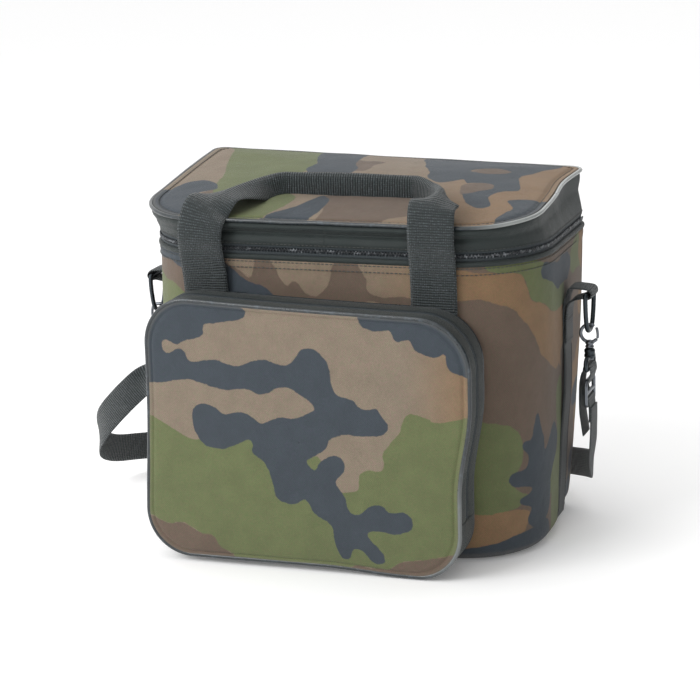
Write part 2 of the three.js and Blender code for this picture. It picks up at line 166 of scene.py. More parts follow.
# ---- node helpers ----
class Nodes:
    """Short calls for building a node tree."""

    def __init__(self, name):
        self.material = bpy.data.materials.new(name)
        self.material.use_nodes = True
        self.tree = self.material.node_tree
        self.shader = self.tree.nodes["Principled BSDF"]

    def add(self, kind, **settings):
        node = self.tree.nodes.new(kind)
        for key, value in settings.items():
            if key in node.inputs.keys():
                self.feed(node.inputs[key], value)
            else:
                setattr(node, key, value)
        return node

    def feed(self, socket, value):
        if isinstance(value, bpy.types.NodeSocket):
            self.tree.links.new(value, socket)
        elif isinstance(value, (tuple, list)) and len(value) == 3 and len(socket.default_value) == 4:
            socket.default_value = (*value, 1.0)
        else:
            socket.default_value = value

    def math(self, operation, a, b=0.0, c=None):
        node = self.tree.nodes.new("ShaderNodeMath")
        node.operation = operation
        self.feed(node.inputs[0], a)
        self.feed(node.inputs[1], b)
        if c is not None:
            self.feed(node.inputs[2], c)
        return node.outputs[0]

    def mix(self, factor, a, b, blend="MIX"):
        node = self.tree.nodes.new("ShaderNodeMix")
        node.data_type = "RGBA"
        node.blend_type = blend
        self.feed(node.inputs["Factor"], factor)
        self.feed(node.inputs[6], a)
        self.feed(node.inputs[7], b)
        return node.outputs[2]

    def ramp(self, value, low, high, to_low=0.0, to_high=1.0):
        node = self.tree.nodes.new("ShaderNodeMapRange")
        node.interpolation_type = "SMOOTHSTEP"
        self.feed(node.inputs["Value"], value)
        for key, number in zip(("From Min", "From Max", "To Min", "To Max"), (low, high, to_low, to_high)):
            node.inputs[key].default_value = number
        return node.outputs["Result"]

    def noise(self, scale, detail=3.0, rough=0.5):
        node = self.add("ShaderNodeTexNoise", Scale=scale, Detail=detail, Roughness=rough)
        self.feed(node.inputs["Vector"], self.place())
        return node.outputs[0]

    def place(self):
        """The point in the object's own frame, which doesn't move with a pose."""
        return self.add("ShaderNodeTexCoord").outputs["Object"]

    def cloth(self):
        """The cloth's own flat coordinates, in metres."""
        return self.add("ShaderNodeUVMap", uv_map="cloth").outputs["UV"]

    def attribute(self, name):
        return self.add("ShaderNodeAttribute", attribute_name=name).outputs["Fac"]

    def split(self, vector):
        node = self.add("ShaderNodeSeparateXYZ")
        self.feed(node.inputs[0], vector)
        return node.outputs[0], node.outputs[1]

    def wave(self, coordinate, pitch, phase=0.0):
        """A sine of the given pitch, from -1 to 1."""
        angle = self.math("MULTIPLY_ADD", coordinate, 2 * math.pi / pitch, phase)
        return self.math("SINE", angle)

    def bump(self, height, strength, distance, normal=None):
        node = self.add("ShaderNodeBump", Strength=strength, Distance=distance, Height=height)
        if normal is not None:
            self.feed(node.inputs["Normal"], normal)
        return node.outputs[0]

    def plain_weave(self, pitch):
        """Height of a plain weave: warp and weft go over and under each other."""
        u, v = self.split(self.cloth())
        across = self.wave(u, pitch)
        along = self.wave(v, pitch)
        crossing = self.math("MULTIPLY", self.wave(u, 2 * pitch), self.wave(v, 2 * pitch))
        threads = self.math("ADD", self.math("ABSOLUTE", across), self.math("ABSOLUTE", along))
        return self.math("MULTIPLY_ADD", crossing, 0.8, threads)

    def done(self, colour, roughness, normal=None, **sockets):
        self.feed(self.shader.inputs["Base Color"], colour)
        self.feed(self.shader.inputs["Roughness"], roughness)
        if normal is not None:
            self.feed(self.shader.inputs["Normal"], normal)
        for key, value in sockets.items():
            self.feed(self.shader.inputs[key.replace("_", " ")], value)
        return self.material


def srgb(r, g, b):
    """A display colour of 0 to 255 as linear light."""
    return tuple((c / 255 / 12.92) if c < 10.3 else ((c / 255 + 0.055) / 1.055) ** 2.4 for c in (r, g, b))


# ---- materials ----
TAN = srgb(122, 109, 94)
OCHRE = srgb(124, 96, 66)
GREEN = srgb(92, 99, 63)
BROWN = srgb(94, 79, 67)
DARK = srgb(51, 59, 67)
CAMO_LAYERS = (("brown", BROWN), ("green", GREEN), ("tan", TAN), ("dark", DARK))


def camo_material():
    """Printed polyester canvas. Each colour's edge comes from a distance field kept on the mesh."""
    n = Nodes("camo_fabric")
    wobble = n.math("MULTIPLY_ADD", n.noise(90.0, 2.0), 0.0030, -0.0015)
    fray = n.math("MULTIPLY_ADD", n.noise(420.0, 2.0), 0.0012, -0.0006)
    edge = n.math("ADD", wobble, fray)
    warmth = n.attribute("camo_warmth")
    colour = n.mix(warmth, TAN, OCHRE)
    for name, ink in CAMO_LAYERS:
        print_colour = n.mix(warmth, TAN, OCHRE) if name == "tan" else ink
        field = n.math("ADD", n.attribute("camo_" + name), edge)
        colour = n.mix(n.ramp(field, -0.0005, 0.0005, 1.0, 0.0), colour, print_colour)
    weave = n.plain_weave(0.00095)
    heather = n.noise(1500.0, 3.0, 0.65)
    patch = n.noise(60.0, 4.0, 0.6)
    tint = n.mix(n.ramp(n.noise(700.0, 2.0, 0.6), 0.3, 0.7), (0.93, 1.03, 0.95), (1.07, 0.98, 1.04))
    shade = n.math("ADD", n.ramp(heather, 0.28, 0.72, 0.84, 1.16), n.ramp(patch, 0.3, 0.7, -0.06, 0.06))
    # Painted shade and painted highlight: the weave's hollows are darkened and its crowns lightened.
    shade = n.math("MULTIPLY", shade, n.ramp(weave, 0.2, 2.2, 0.88, 1.07))
    grey = n.add("ShaderNodeCombineColor")
    for k in range(3):
        n.feed(grey.inputs[k], shade)
    colour = n.mix(1.0, colour, grey.outputs[0], "MULTIPLY")
    colour = n.mix(1.0, colour, tint, "MULTIPLY")
    wear = n.ramp(n.attribute("edge_wear"), 0.35, 1.0, 0.0, 0.18)
    colour = n.mix(wear, colour, srgb(130, 124, 112))
    crease = n.bump(n.noise(38.0, 4.0, 0.55), 0.35, 0.004)
    normal = n.bump(weave, 0.35, 0.00022, crease)
    roughness = n.ramp(heather, 0.2, 0.8, 0.78, 0.9)
    return n.done(colour, roughness, normal, Sheen_Weight=0.12, Sheen_Roughness=0.5)


def black_material(name, base, gloss, pitch):
    """Coated black woven fabric."""
    n = Nodes(name)
    weave = n.plain_weave(pitch)
    dust = n.noise(55.0, 5.0, 0.62)
    colour = n.mix(n.ramp(dust, 0.45, 0.8, 0.0, 0.35), base, tuple(c * 1.9 + 0.004 for c in base))
    # Painted shade: the weave's hollows are darkened.
    colour = n.mix(n.ramp(weave, 0.2, 2.0, 0.3, 0.0), colour, tuple(c * 0.45 for c in base))
    crease = n.bump(n.noise(60.0, 4.0, 0.6), 0.45, 0.003)
    normal = n.bump(weave, 0.5, 0.00022, crease)
    return n.done(colour, n.ramp(dust, 0.2, 0.8, gloss - 0.08, gloss + 0.1), normal,
                  Sheen_Weight=0.12, Sheen_Roughness=0.4)


def webbing_material():
    """Ribbed webbing: weft ribs across the band with a fine herringbone of warp threads, painted highlights
    on the rib crowns and painted shade between the ribs.
    """
    n = Nodes("black_webbing")
    u, v = n.split(n.cloth())
    jitter = n.math("MULTIPLY_ADD", n.noise(160.0, 2.0), 0.0010, -0.0005)
    rib = n.math("ABSOLUTE", n.wave(n.math("ADD", v, jitter), 0.0042))
    warp = n.math("ABSOLUTE", n.wave(u, 0.0030))
    slub = n.noise(900.0, 3.0, 0.6)
    herringbone = n.math("MULTIPLY", n.math("MULTIPLY", warp, rib), 0.7)
    height = n.math("ADD", n.math("MULTIPLY", rib, 0.9), herringbone)
    height = n.math("MULTIPLY_ADD", slub, 0.6, height)
    base = srgb(38, 46, 47)
    # Painted highlight: the highest rib crowns are lightened.
    painted_rib_highlight = n.math("MULTIPLY", n.ramp(height, 1.0, 2.0), n.ramp(slub, 0.47, 0.62))
    colour = n.mix(n.math("MULTIPLY", painted_rib_highlight, 0.6), base, srgb(112, 120, 124))
    # Painted shade: the low parts between the ribs are darkened.
    colour = n.mix(n.ramp(height, 0.2, 1.1, 0.85, 0.0), colour, srgb(20, 25, 26))
    normal = n.bump(height, 0.9, 0.0008)
    return n.done(colour, n.ramp(slub, 0.3, 0.7, 0.5, 0.72), normal, Sheen_Weight=0.2, Sheen_Roughness=0.35)


def piping_material():
    """Glossy coated cord with painted highlights along its crown."""
    n = Nodes("piping")
    rub_and_highlight = n.noise(220.0, 4.0, 0.65)
    # Painted highlight: lighter patches along the cord.
    colour = n.mix(n.ramp(rub_and_highlight, 0.5, 0.78, 0.0, 0.45), srgb(26, 34, 38), srgb(88, 100, 110))
    # Painted highlight: light silver where the cord's highlight attribute is set.
    colour = n.mix(n.attribute("painted_piping_highlight"), colour, srgb(168, 172, 170))
    grain = n.bump(n.noise(1500.0, 2.0), 0.3, 0.0002, n.bump(n.noise(90.0, 2.0), 0.3, 0.002))
    return n.done(colour, n.ramp(rub_and_highlight, 0.3, 0.7, 0.26, 0.42), grain, Coat_Weight=0.4, Coat_Roughness=0.25)


def tape_material():
    """Woven zip tape with ribs across it."""
    n = Nodes("zip_tape")
    u, v = n.split(n.cloth())
    ribs = n.math("ABSOLUTE", n.wave(v, 0.0012))
    warp = n.math("ABSOLUTE", n.wave(u, 0.0008))
    height = n.math("ADD", ribs, n.math("MULTIPLY", warp, 0.5))
    # Painted highlight and painted shade: rib tops lighter, the hollows between them darker.
    colour = n.mix(n.ramp(height, 0.1, 1.2), srgb(26, 31, 33), srgb(52, 60, 64))
    return n.done(colour, n.ramp(n.noise(300.0), 0.3, 0.7, 0.55, 0.7), n.bump(height, 0.6, 0.0003))


def coil_material():
    """Nylon coil: dark, with painted highlights on its crowns."""
    n = Nodes("zip_coil")
    rub_and_highlight = n.noise(260.0, 3.0, 0.7)
    # Painted highlight: lighter patches on the coil.
    colour = n.mix(n.ramp(rub_and_highlight, 0.48, 0.66), srgb(34, 38, 42), srgb(122, 126, 130))
    return n.done(colour, n.ramp(rub_and_highlight, 0.3, 0.7, 0.25, 0.4), n.bump(n.noise(2000.0), 0.2, 0.0001))


def metal_material(name, base, rough):
    n = Nodes(name)
    scratch = n.noise(700.0, 5.0, 0.7)
    cloud = n.noise(60.0, 3.0)
    colour = n.mix(n.ramp(cloud, 0.3, 0.7, 0.0, 0.4), base, tuple(c * 0.7 for c in base))
    normal = n.bump(scratch, 0.12, 0.0002)
    return n.done(colour, n.ramp(scratch, 0.3, 0.7, rough, rough + 0.14), normal, Metallic=1.0)


def plastic_material(name, base, rough):
    n = Nodes(name)
    grain = n.noise(1800.0, 2.0)
    rub_and_highlight = n.noise(140.0, 4.0, 0.6)
    colour = n.mix(n.ramp(rub_and_highlight, 0.5, 0.75, 0.0, 0.35), base, tuple(c * 2.2 + 0.01 for c in base))
    return n.done(colour, n.ramp(rub_and_highlight, 0.3, 0.7, rough, rough + 0.12), n.bump(grain, 0.25, 0.00015))


def thread_material():
    n = Nodes("thread")
    twist = n.noise(2600.0, 1.0)
    colour = n.mix(n.ramp(twist, 0.35, 0.65), srgb(40, 42, 42), srgb(78, 80, 78))
    return n.done(colour, n.ramp(twist, 0.3, 0.7, 0.5, 0.65), n.bump(twist, 0.4, 0.0001))


def foil_material():
    """Silver film, crinkled, on a thin backing."""
    n = Nodes("foil_liner")
    crinkle = n.add("ShaderNodeTexVoronoi", Scale=85.0, feature="DISTANCE_TO_EDGE")
    n.feed(crinkle.inputs["Vector"], n.place())
    soft = n.noise(45.0, 5.0, 0.65)
    height = n.math("ADD", n.math("MULTIPLY", crinkle.outputs[0], 0.8), soft)
    colour = n.mix(n.ramp(soft, 0.3, 0.7), srgb(196, 198, 200), srgb(222, 224, 226))
    return n.done(colour, n.ramp(soft, 0.25, 0.75, 0.2, 0.38), n.bump(height, 0.8, 0.003), Metallic=0.85)


def foam_material():
    n = Nodes("foam")
    cells = n.add("ShaderNodeTexVoronoi", Scale=900.0)
    n.feed(cells.inputs["Vector"], n.place())
    cloud = n.noise(30.0, 4.0)
    colour = n.mix(n.ramp(cloud, 0.3, 0.7), srgb(226, 226, 218), srgb(238, 238, 232))
    return n.done(colour, n.ramp(cloud, 0.3, 0.7, 0.85, 0.95), n.bump(cells.outputs[0], 0.4, 0.0006))


MAT = {
    "camo": camo_material(),
    "black": black_material("black_fabric", srgb(26, 36, 35), 0.6, 0.0011),
    "base": black_material("base_fabric", srgb(33, 39, 40), 0.6, 0.0014),
    "webbing": webbing_material(),
    "piping": piping_material(),
    "tape": tape_material(),
    "coil": coil_material(),
    "nickel": metal_material("nickel_hardware", srgb(112, 116, 122), 0.24),
    "gunmetal": metal_material("dark_hardware", srgb(62, 68, 72), 0.3),
    "plastic": plastic_material("black_plastic", srgb(38, 41, 44), 0.32),
    "thread": thread_material(),
    "foil": foil_material(),
    "foam": foam_material(),
    "board": plastic_material("base_board", srgb(84, 86, 88), 0.6),
}


# ---- mesh helpers ----
def mesh_object(name, points, faces, material, uv):
    mesh = bpy.data.meshes.new(name)
    mesh.from_pydata([tuple(p) for p in points], [], faces)
    mesh.validate()
    layer = mesh.uv_layers.new(name="cloth")
    index = np.empty(len(mesh.loops), np.int32)
    mesh.loops.foreach_get("vertex_index", index)
    layer.data.foreach_set("uv", np.asarray(uv, np.float32)[index].ravel())
    mesh.polygons.foreach_set("use_smooth", [True] * len(mesh.polygons))
    mesh.materials.append(MAT[material])
    mesh.update()
    obj = bpy.data.objects.new(name, mesh)
    bpy.context.scene.collection.objects.link(obj)
    return obj


def grid_faces(rows, columns, close_rows=False, close_columns=False, flip=False):
    faces = []
    for i in range(rows if close_rows else rows - 1):
        row, above = i * columns, (i + 1) % rows * columns
        for j in range(columns if close_columns else columns - 1):
            beside = (j + 1) % columns
            quad = (row + j, row + beside, above + beside, above + j)
            faces.append((quad[0], *quad[:0:-1]) if flip else quad)
    return faces


def end_faces(rings, sides):
    """The two end caps of a lofted tube."""
    return [tuple(reversed(range(sides))), tuple(range((rings - 1) * sides, rings * sides))]


def grid_object(name, points, material, uv=None, closed=True, flip=False, thick=0.0):
    """points is rows x columns x 3; closed joins its last column to its first. thick is inwards.
    A level sheet takes its x and y as its cloth coordinates."""
    uv = points[..., :2] if uv is None else uv
    faces = grid_faces(*points.shape[:2], False, closed, flip)
    obj = mesh_object(name, points.reshape(-1, 3), faces, material, uv.reshape(-1, 2))
    if thick:
        m = obj.modifiers.new("thickness", "SOLIDIFY")
        m.thickness = thick
        m.offset = -1.0
        m.use_quality_normals = True
    return obj


def flat_grid(rows, columns):
    """Flat cloth coordinates for a grid, from one value per row or column, or an array of both."""
    return np.stack(np.broadcast_arrays(rows, columns), -1)


def declare(obj, body, slot, *nodes):
    """The body that a piece moves with, and the CAD nodes it stands for, which are hidden. The slot argument
    is not used.
    """
    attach(obj, body)
    if nodes:
        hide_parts(*nodes)


def unit(v):
    v = np.asarray(v, float)
    length = np.linalg.norm(v, axis=-1, keepdims=True)
    return v / np.maximum(length, 1e-12)


def curve(a, b, c, d, t):
    """The smooth curve from b to c, between a and d."""
    return 0.5 * (2 * b + (c - a) * t + (2 * a - 5 * b + 4 * c - d) * t**2 + (3 * b - a - 3 * c + d) * t**3)


def spline(points, count, closed=False):
    """Evenly spaced points on a smooth curve through the given ones."""
    p = np.asarray(points, float)
    last = len(p) - 1
    t = np.linspace(0, 1, 16, endpoint=False)[:, None]
    dense = []
    for i in range(len(p) if closed else last):
        around = [(i + k) % len(p) if closed else min(max(i + k, 0), last) for k in (-1, 0, 1, 2)]
        dense.append(curve(*p[around], t))
    dense = np.vstack(dense + [p[:1] if closed else p[-1:]])
    return even(dense, count, closed)


def even(dense, count, closed=False):
    steps = np.linalg.norm(np.diff(dense[:, :3], axis=0), axis=1)
    along = np.concatenate([[0], np.cumsum(steps)])
    wanted = np.linspace(0, along[-1], count + 1)[:-1] if closed else np.linspace(0, along[-1], count)
    return np.stack([np.interp(wanted, along, dense[:, k]) for k in range(dense.shape[1])], -1)


def lengths(path, closed=False):
    p = np.vstack([path, path[:1]]) if closed else path
    return np.concatenate([[0], np.cumsum(np.linalg.norm(np.diff(p, axis=0), axis=1))])[: len(path)]


def tangents(path, closed=False):
    if closed:
        return unit(np.roll(path, -1, 0) - np.roll(path, 1, 0))
    return unit(np.gradient(path, axis=0))


def tube_data(path, radius, closed=False, sides=12, up=(0, 0, 1)):
    """Points, faces and flat coordinates of a round tube; open tubes get domed ends."""
    path = np.asarray(path, float)
    t = tangents(path, closed)
    ref = np.tile(np.asarray(up, float), (len(path), 1))
    side = unit(np.cross(t, ref))
    rise = np.cross(side, t)
    if not closed:
        cap = np.asarray([path[0] - t[0] * radius * 0.5, path[-1] + t[-1] * radius * 0.5])
        path = np.vstack([cap[:1], path, cap[1:]])
        side = np.vstack([side[:1], side, side[-1:]])
        rise = np.vstack([rise[:1], rise, rise[-1:]])
    r = np.full(len(path), radius)
    if not closed:
        r[0] = r[-1] = radius * 0.45
    angle = np.linspace(0, 2 * math.pi, sides, endpoint=False)
    ring = side[:, None] * np.cos(angle)[None, :, None] + rise[:, None] * np.sin(angle)[None, :, None]
    points = path[:, None] + ring * r[:, None, None]
    faces = grid_faces(len(path), sides, closed, True)
    if not closed:
        faces += end_faces(len(path), sides)
    faces = [tuple(reversed(f)) for f in faces]
    s = lengths(path, closed)
    uv = flat_grid(angle[None] * radius, s[:, None])
    return points.reshape(-1, 3), faces, uv.reshape(-1, 2)


def merged_object(name, parts, material):
    """One object from several (points, faces, flat coordinates)."""
    points, faces, uvs, start = [], [], [], 0
    for p, f, uv in parts:
        points.append(p)
        faces += [tuple(i + start for i in face) for face in f]
        uvs.append(uv)
        start += len(p)
    return mesh_object(name, np.vstack(points), faces, material, np.vstack(uvs))


def tube_object(name, path, radius, material, sides=14, up=(0, 0, 1)):
    """A closed loop of round cord or wire."""
    points, faces, uv = tube_data(path, radius, True, sides, up)
    return mesh_object(name, points, faces, material, uv)


def stitch_object(name, rows, radius=0.38 * MM):
    """Lockstitches along each row. A row is (path, outward normals)."""
    sides, pitch, length = 6, 3.6 * MM, 2.7 * MM
    angle = np.linspace(0, 2 * math.pi, sides, endpoint=False)
    profile = np.array([(-0.5, 0.35), (-0.3, 1.0), (0.0, 1.15), (0.3, 1.0), (0.5, 0.35)])
    parts = []
    for path, normals in rows:
        total = lengths(path)[-1]
        count = max(int(total / pitch), 1)
        where = even(np.hstack([path, normals]), count * 2 + 1)
        centres, out = where[1::2, :3], unit(where[1::2, 3:])
        along = unit(where[2::2, :3] - where[0:-1:2, :3])
        side = unit(np.cross(out, along))
        for c, t, n, b in zip(centres, along, out, side):
            ring = c + profile[:, None, :1] * length * t + (
                np.cos(angle)[None, :, None] * b + np.sin(angle)[None, :, None] * n * 0.8
            ) * profile[:, None, 1:] * radius
            faces = grid_faces(len(profile), sides, False, True) + end_faces(len(profile), sides)
            parts.append((ring.reshape(-1, 3), faces, np.zeros((len(profile) * sides, 2))))
    return merged_object(name, parts, "thread")


def set_attribute(obj, name, values):
    a = obj.data.attributes.new(name, "FLOAT", "POINT")
    a.data.foreach_set("value", np.asarray(values, np.float32))


# ---- camouflage: printed patches and wandering blobs, in the cloth's own millimetres ----
def smooth_loop(points, steps=5):
    """A closed curve through the given points."""
    p = np.asarray(points, float)
    a, b, c, d = (np.roll(p, k, 0) for k in (1, 0, -1, -2))
    t = np.linspace(0, 1, steps, endpoint=False)[:, None, None]
    return curve(a, b, c, d, t).transpose(1, 0, 2).reshape(-1, 2)


def loop_field(points, loops):
    """Signed distance to the nearest patch outline, negative inside a patch; 30 where far away."""
    field = np.full(len(points), 30.0)
    for loop in loops:
        edge = smooth_loop(loop)
        low, high = edge.min(0) - 8, edge.max(0) + 8
        near = np.flatnonzero(((points > low) & (points < high)).all(1))
        px, py = points[near].T
        best = np.full(len(near), 1e6)
        inside = np.zeros(len(near), bool)
        for (ax, ay), (bx, by) in zip(edge, np.roll(edge, -1, 0)):
            dx, dy = bx - ax, by - ay
            t = np.clip(((px - ax) * dx + (py - ay) * dy) / max(dx * dx + dy * dy, 1e-9), 0, 1)
            best = np.minimum(best, (px - ax - t * dx) ** 2 + (py - ay - t * dy) ** 2)
            if ay != by:
                inside ^= ((ay > py) != (by > py)) & (px < ax + (py - ay) * dx / dy)
        distance = np.sqrt(best)
        field[near] = np.minimum(field[near], np.where(inside, -distance, distance))
    return field


def blob_field(points, chains):
    """Signed distance to the smooth union of tapered capsules."""
    soften = 4.0
    field = np.full(len(points), 60.0)
    for chain in chains:
        for (ax, ay, ar), (bx, by, br) in zip(chain, chain[1:]):
            a, d = np.array((ax, ay)), np.array((bx - ax, by - ay))
            t = np.clip(((points - a) @ d) / max(float(d @ d), 1e-9), 0, 1)
            gap = np.linalg.norm(points - a - t[:, None] * d, axis=1) - (ar + t * (br - ar))
            h = np.clip(0.5 + 0.5 * (field - gap) / soften, 0, 1)
            field = field + (gap - field) * h - soften * h * (1 - h)
    return field


def wandering(seed, count, left, right, height, size):
    """Chains that wander mostly sideways, for cloth whose print isn't known."""
    rng = np.random.default_rng(seed)
    chains = []
    for _ in range(count):
        x, y = rng.uniform(left, right), rng.uniform(0, height)
        heading = rng.uniform(0, 2 * math.pi)
        chain = []
        for _ in range(rng.integers(4, 9)):
            r = size * rng.uniform(0.55, 1.25)
            chain.append((x, y, r))
            heading += rng.normal(0, 0.5)
            x += 1.5 * r * math.cos(heading)
            y += 0.9 * r * math.sin(heading)
        chains.append(chain)
    return chains


def paint(obj, flat_mm, layers, warmth, wear, chains=()):
    """Stores each colour's distance to its patches. Holes are left out, and a ground colour is everywhere."""
    for name, _ in CAMO_LAYERS:
        field = loop_field(flat_mm, layers.get(name, []))
        if name in chains:
            field = np.minimum(field, blob_field(flat_mm, chains[name]))
        if name + " holes" in layers:
            field = np.maximum(field, -loop_field(flat_mm, layers[name + " holes"]))
        if layers.get("ground") == name:
            field = np.full(len(flat_mm), -30.0)
        set_attribute(obj, "camo_" + name, field * MM)
    set_attribute(obj, "camo_warmth", warmth)
    set_attribute(obj, "edge_wear", wear)


# Pocket front: millimetres to the right of its left edge and up from its lower edge.
POCKET_PRINT = {
    "green": [
        [(-14, 116), (0, 114), (17, 108), (32, 101), (45, 98), (70, 104), (112, 100), (144, 93), (151, 94),
         (156, 86), (160, 72), (170, 66), (179, 66), (187, 69), (188, 80), (195, 85), (206, 85), (209, 91),
         (207, 99), (211, 108), (218, 117), (220, 127), (227, 133), (236, 131), (246, 127), (258, 129),
         (272, 132), (288, 134), (290, -14), (-14, -14)],
    ],
    "brown": [
        [(-14, 33), (0, 32), (12, 28), (20, 26), (32, 28), (47, 21), (58, 19), (64, 10), (74, 3),
         (80, -14), (-14, -16)],
        [(172, -14), (180, 3), (197, 3), (212, 5), (223, 12), (240, 15), (255, 18), (288, 22), (288, -14)],
    ],
    "dark": [
        [(-14, 228), (66, 228), (66, 209), (74, 207.5), (86, 206), (90, 202), (86, 197), (74, 194),
         (62, 191.5), (54, 190.5), (52, 187), (52, 182), (47, 178.5), (38, 176.5), (33, 174.5), (28, 172),
         (23, 174), (18, 175), (15, 172), (15, 168), (18.5, 164.5), (23, 165.5), (27, 168.5), (31, 169),
         (35, 167), (38, 161.5), (44, 159.8), (52, 161.2), (63, 163), (74, 160.8), (84, 160), (95, 164.5),
         (106, 167), (117, 165), (127, 164), (134, 170), (139, 176.5), (145, 178.5), (151, 178),
         (157, 173), (162, 164), (163, 153), (165.5, 146), (170, 143), (176, 142), (181, 140), (184, 136),
         (187, 133.5), (193, 133.5), (199, 135), (202, 131.5), (204, 128), (208, 122), (206.5, 116),
         (201, 113.5), (190, 112.8), (182, 112), (176, 113), (168, 111), (161, 107.5), (159, 101),
         (153, 95), (142, 88.5), (149, 81), (155, 90), (166, 95), (174, 90.5), (175, 83), (168, 74),
         (172, 67), (176, 60), (178, 52), (182, 48.5), (188, 49), (197, 56), (206, 57), (214, 52),
         (227, 53), (233, 47), (230, 38), (216, 35), (203, 36), (195, 34), (197, 28), (207, 19),
         (208.5, 11), (203, 7.5), (197, 10), (188, 18), (181, 18), (178, 12), (174, 8.5), (168, 11),
         (164, 22), (162, 36), (147, 45), (140, 56), (133, 53), (125, 52), (115, 57), (112, 70), (106, 84),
         (95, 92), (95.5, 99), (91, 102), (82, 98), (75, 94.5), (67, 92), (54, 94), (45, 102), (41, 115),
         (43, 123), (49, 127), (60, 126), (71, 121), (86, 123), (95, 120), (104, 116), (119, 122),
         (132, 122), (143, 127), (149, 131), (147, 136), (141, 140), (130, 146), (119, 146), (110, 141),
         (102, 139), (91, 142), (71, 140), (54, 143), (39, 145.5), (20, 142), (2, 140), (-14, 140)],
        [(183, 228), (184, 207), (187, 199), (197, 195.5), (209, 197), (213, 191), (217, 188.5),
         (225, 190.5), (229, 184), (235, 180.5), (246, 178), (253, 182), (254, 175), (257, 169),
         (264, 166), (290, 164), (290, 228)],
    ],
}

# Body: millimetres along the cloth from the middle of the front towards the right, and up from the floor.
BODY_PRINT = {
    "ground": "brown",
    "green": [
        [(128, 246), (140, 251), (152, 249), (172, 247), (186, 243), (198, 235), (212, 226), (240, 216),
         (240, 194), (215, 197), (200, 200), (188, 208), (172, 214), (167, 225), (160, 237), (140, 240)],
        [(108, 120), (130, 118), (142, 116), (155, 110), (161, 100), (163, 85), (158, 75), (150, 66),
         (160, 56), (170, 52), (162, 45), (150, 42), (108, 40)],
        [(-200, 224), (-150, 221), (-134, 217), (-122, 208), (-116, 178), (-200, 170)],
        [(216, 128), (235, 130), (238, 8), (216, 8), (209, 36), (214, 66), (223, 84)],
    ],
    "tan": [
        [(104, 243), (120, 242), (140, 240), (160, 237), (167, 225), (172, 214), (188, 208), (200, 200),
         (215, 197), (242, 195), (240, 168), (228, 160), (230, 146), (222, 151), (216, 148), (203, 153),
         (184, 167), (180, 175), (172, 188), (163, 199), (152, 210), (137, 216), (122, 220), (104, 221)],
        [(106, 39), (135, 41), (152, 42), (172, 38), (170, 28), (165, 20), (150, 18), (135, 15),
         (106, 12)],
        [(-88, 256), (-63, 256), (-63, 238), (-67, 231), (-77, 238), (-88, 244)],
        [(-47, 256), (3, 256), (3, 238), (0, 228), (-8, 219), (-18, 220), (-26, 229), (-31, 229),
         (-35, 226), (-43, 238)],
        [(26, 256), (78, 256), (78, 223), (61, 221), (45, 220), (34, 224), (33, 233), (29, 240)],
    ],
    "dark": [
        [(179, 119), (184, 106), (189, 97), (191, 85), (197, 91), (205, 102), (213, 104), (222, 93),
         (221, 78), (210, 67), (205, 56), (205, 38), (197, 26), (182, 22), (172, 26), (170, 33), (174, 40),
         (162, 45), (161, 50), (171, 53), (173, 58), (155, 62), (149, 67), (152, 73), (166, 75), (169, 85),
         (162, 93), (164, 98), (171, 99), (174, 110)],
        [(104, 10), (135, 15), (150, 18), (166, 21), (182, 23), (198, 25), (206, 16), (210, -8),
         (104, -8)],
        [(-92, 243), (-78, 235), (-67, 228), (-52, 223), (-45, 214), (-45, 200), (-92, 200)],
        [(-200, 258), (-120, 258), (-117, 240), (-128, 234), (-146, 240), (-164, 238), (-200, 236)],
    ],
}

# Lid top: millimetres from its centre, to the right and towards the back.
LID_PRINT = {
    "green": [
        [(-150, 104), (-147, 84), (-138, 42), (-128, 8), (-125, -18), (-120, -38), (-116, -54),
         (-127, -62), (-130, -76), (-124, -98), (-120, -116), (-104, -116), (-108, -90), (-104, -66),
         (-92, -46), (-84, -24), (-60, 10), (-52, 30), (-58, 56), (-62, 104)],
        [(-92, -50), (-60, -44), (-40, -58), (-46, -82), (-58, -102), (-66, -118), (-94, -112)],
    ],
    "brown": [
        [(-130, -42), (-119, -36), (-115, -54), (-128, -62), (-138, -56)],
        [(-28, 104), (-24, 64), (0, 60), (-4, 46), (-6, 24), (-22, 22), (-34, 40), (-40, 104)],
        [(-18, -52), (10, -40), (40, -36), (62, -46), (72, -70), (66, -86), (46, -97), (38, -118),
         (-6, -118), (-12, -104), (-8, -84)],
        [(88, 40), (104, 56), (122, 52), (120, 40), (104, 32)],
        [(92, 0), (112, 6), (120, -6), (110, -18), (98, -30), (92, -16)],
    ],
    "dark": [
        [(-163, -28), (-154, -13), (-139, -9), (-126, -18), (-119, -33), (-131, -42), (-137, -56),
         (-130, -68), (-124, -84), (-128, -100), (-138, -122), (-200, -122), (-200, -50)],
        [(-64, 106), (-62, 66), (-55, 40), (-58, 20), (-42, 4), (-20, 8), (-14, 28), (-22, 48), (-24, 64),
         (-30, 106)],
        [(34, 106), (38, 58), (50, 32), (56, 12), (68, 0), (82, 8), (88, 12), (94, -4), (96, -24),
         (106, -48), (118, -58), (127, -50), (121, -30), (126, -14), (140, -4), (137, 16), (133, 38),
         (141, 58), (148, 106)],
        [(138, -34), (150, -26), (164, -24), (192, -28), (192, -104), (150, -104), (141, -84), (143, -66),
         (147, -50)],
        [(-60, -118), (-52, -94), (-42, -84), (-32, -74), (-24, -58), (-18, -50), (-10, -62), (-11, -84),
         (-16, -98), (-18, -118)],
    ],
    "dark holes": [
        [(86, 40), (104, 54), (120, 50), (116, 40), (102, 34)],
        [(94, 2), (112, 6), (118, -6), (108, -16), (98, -26), (92, -12)],
    ],
}


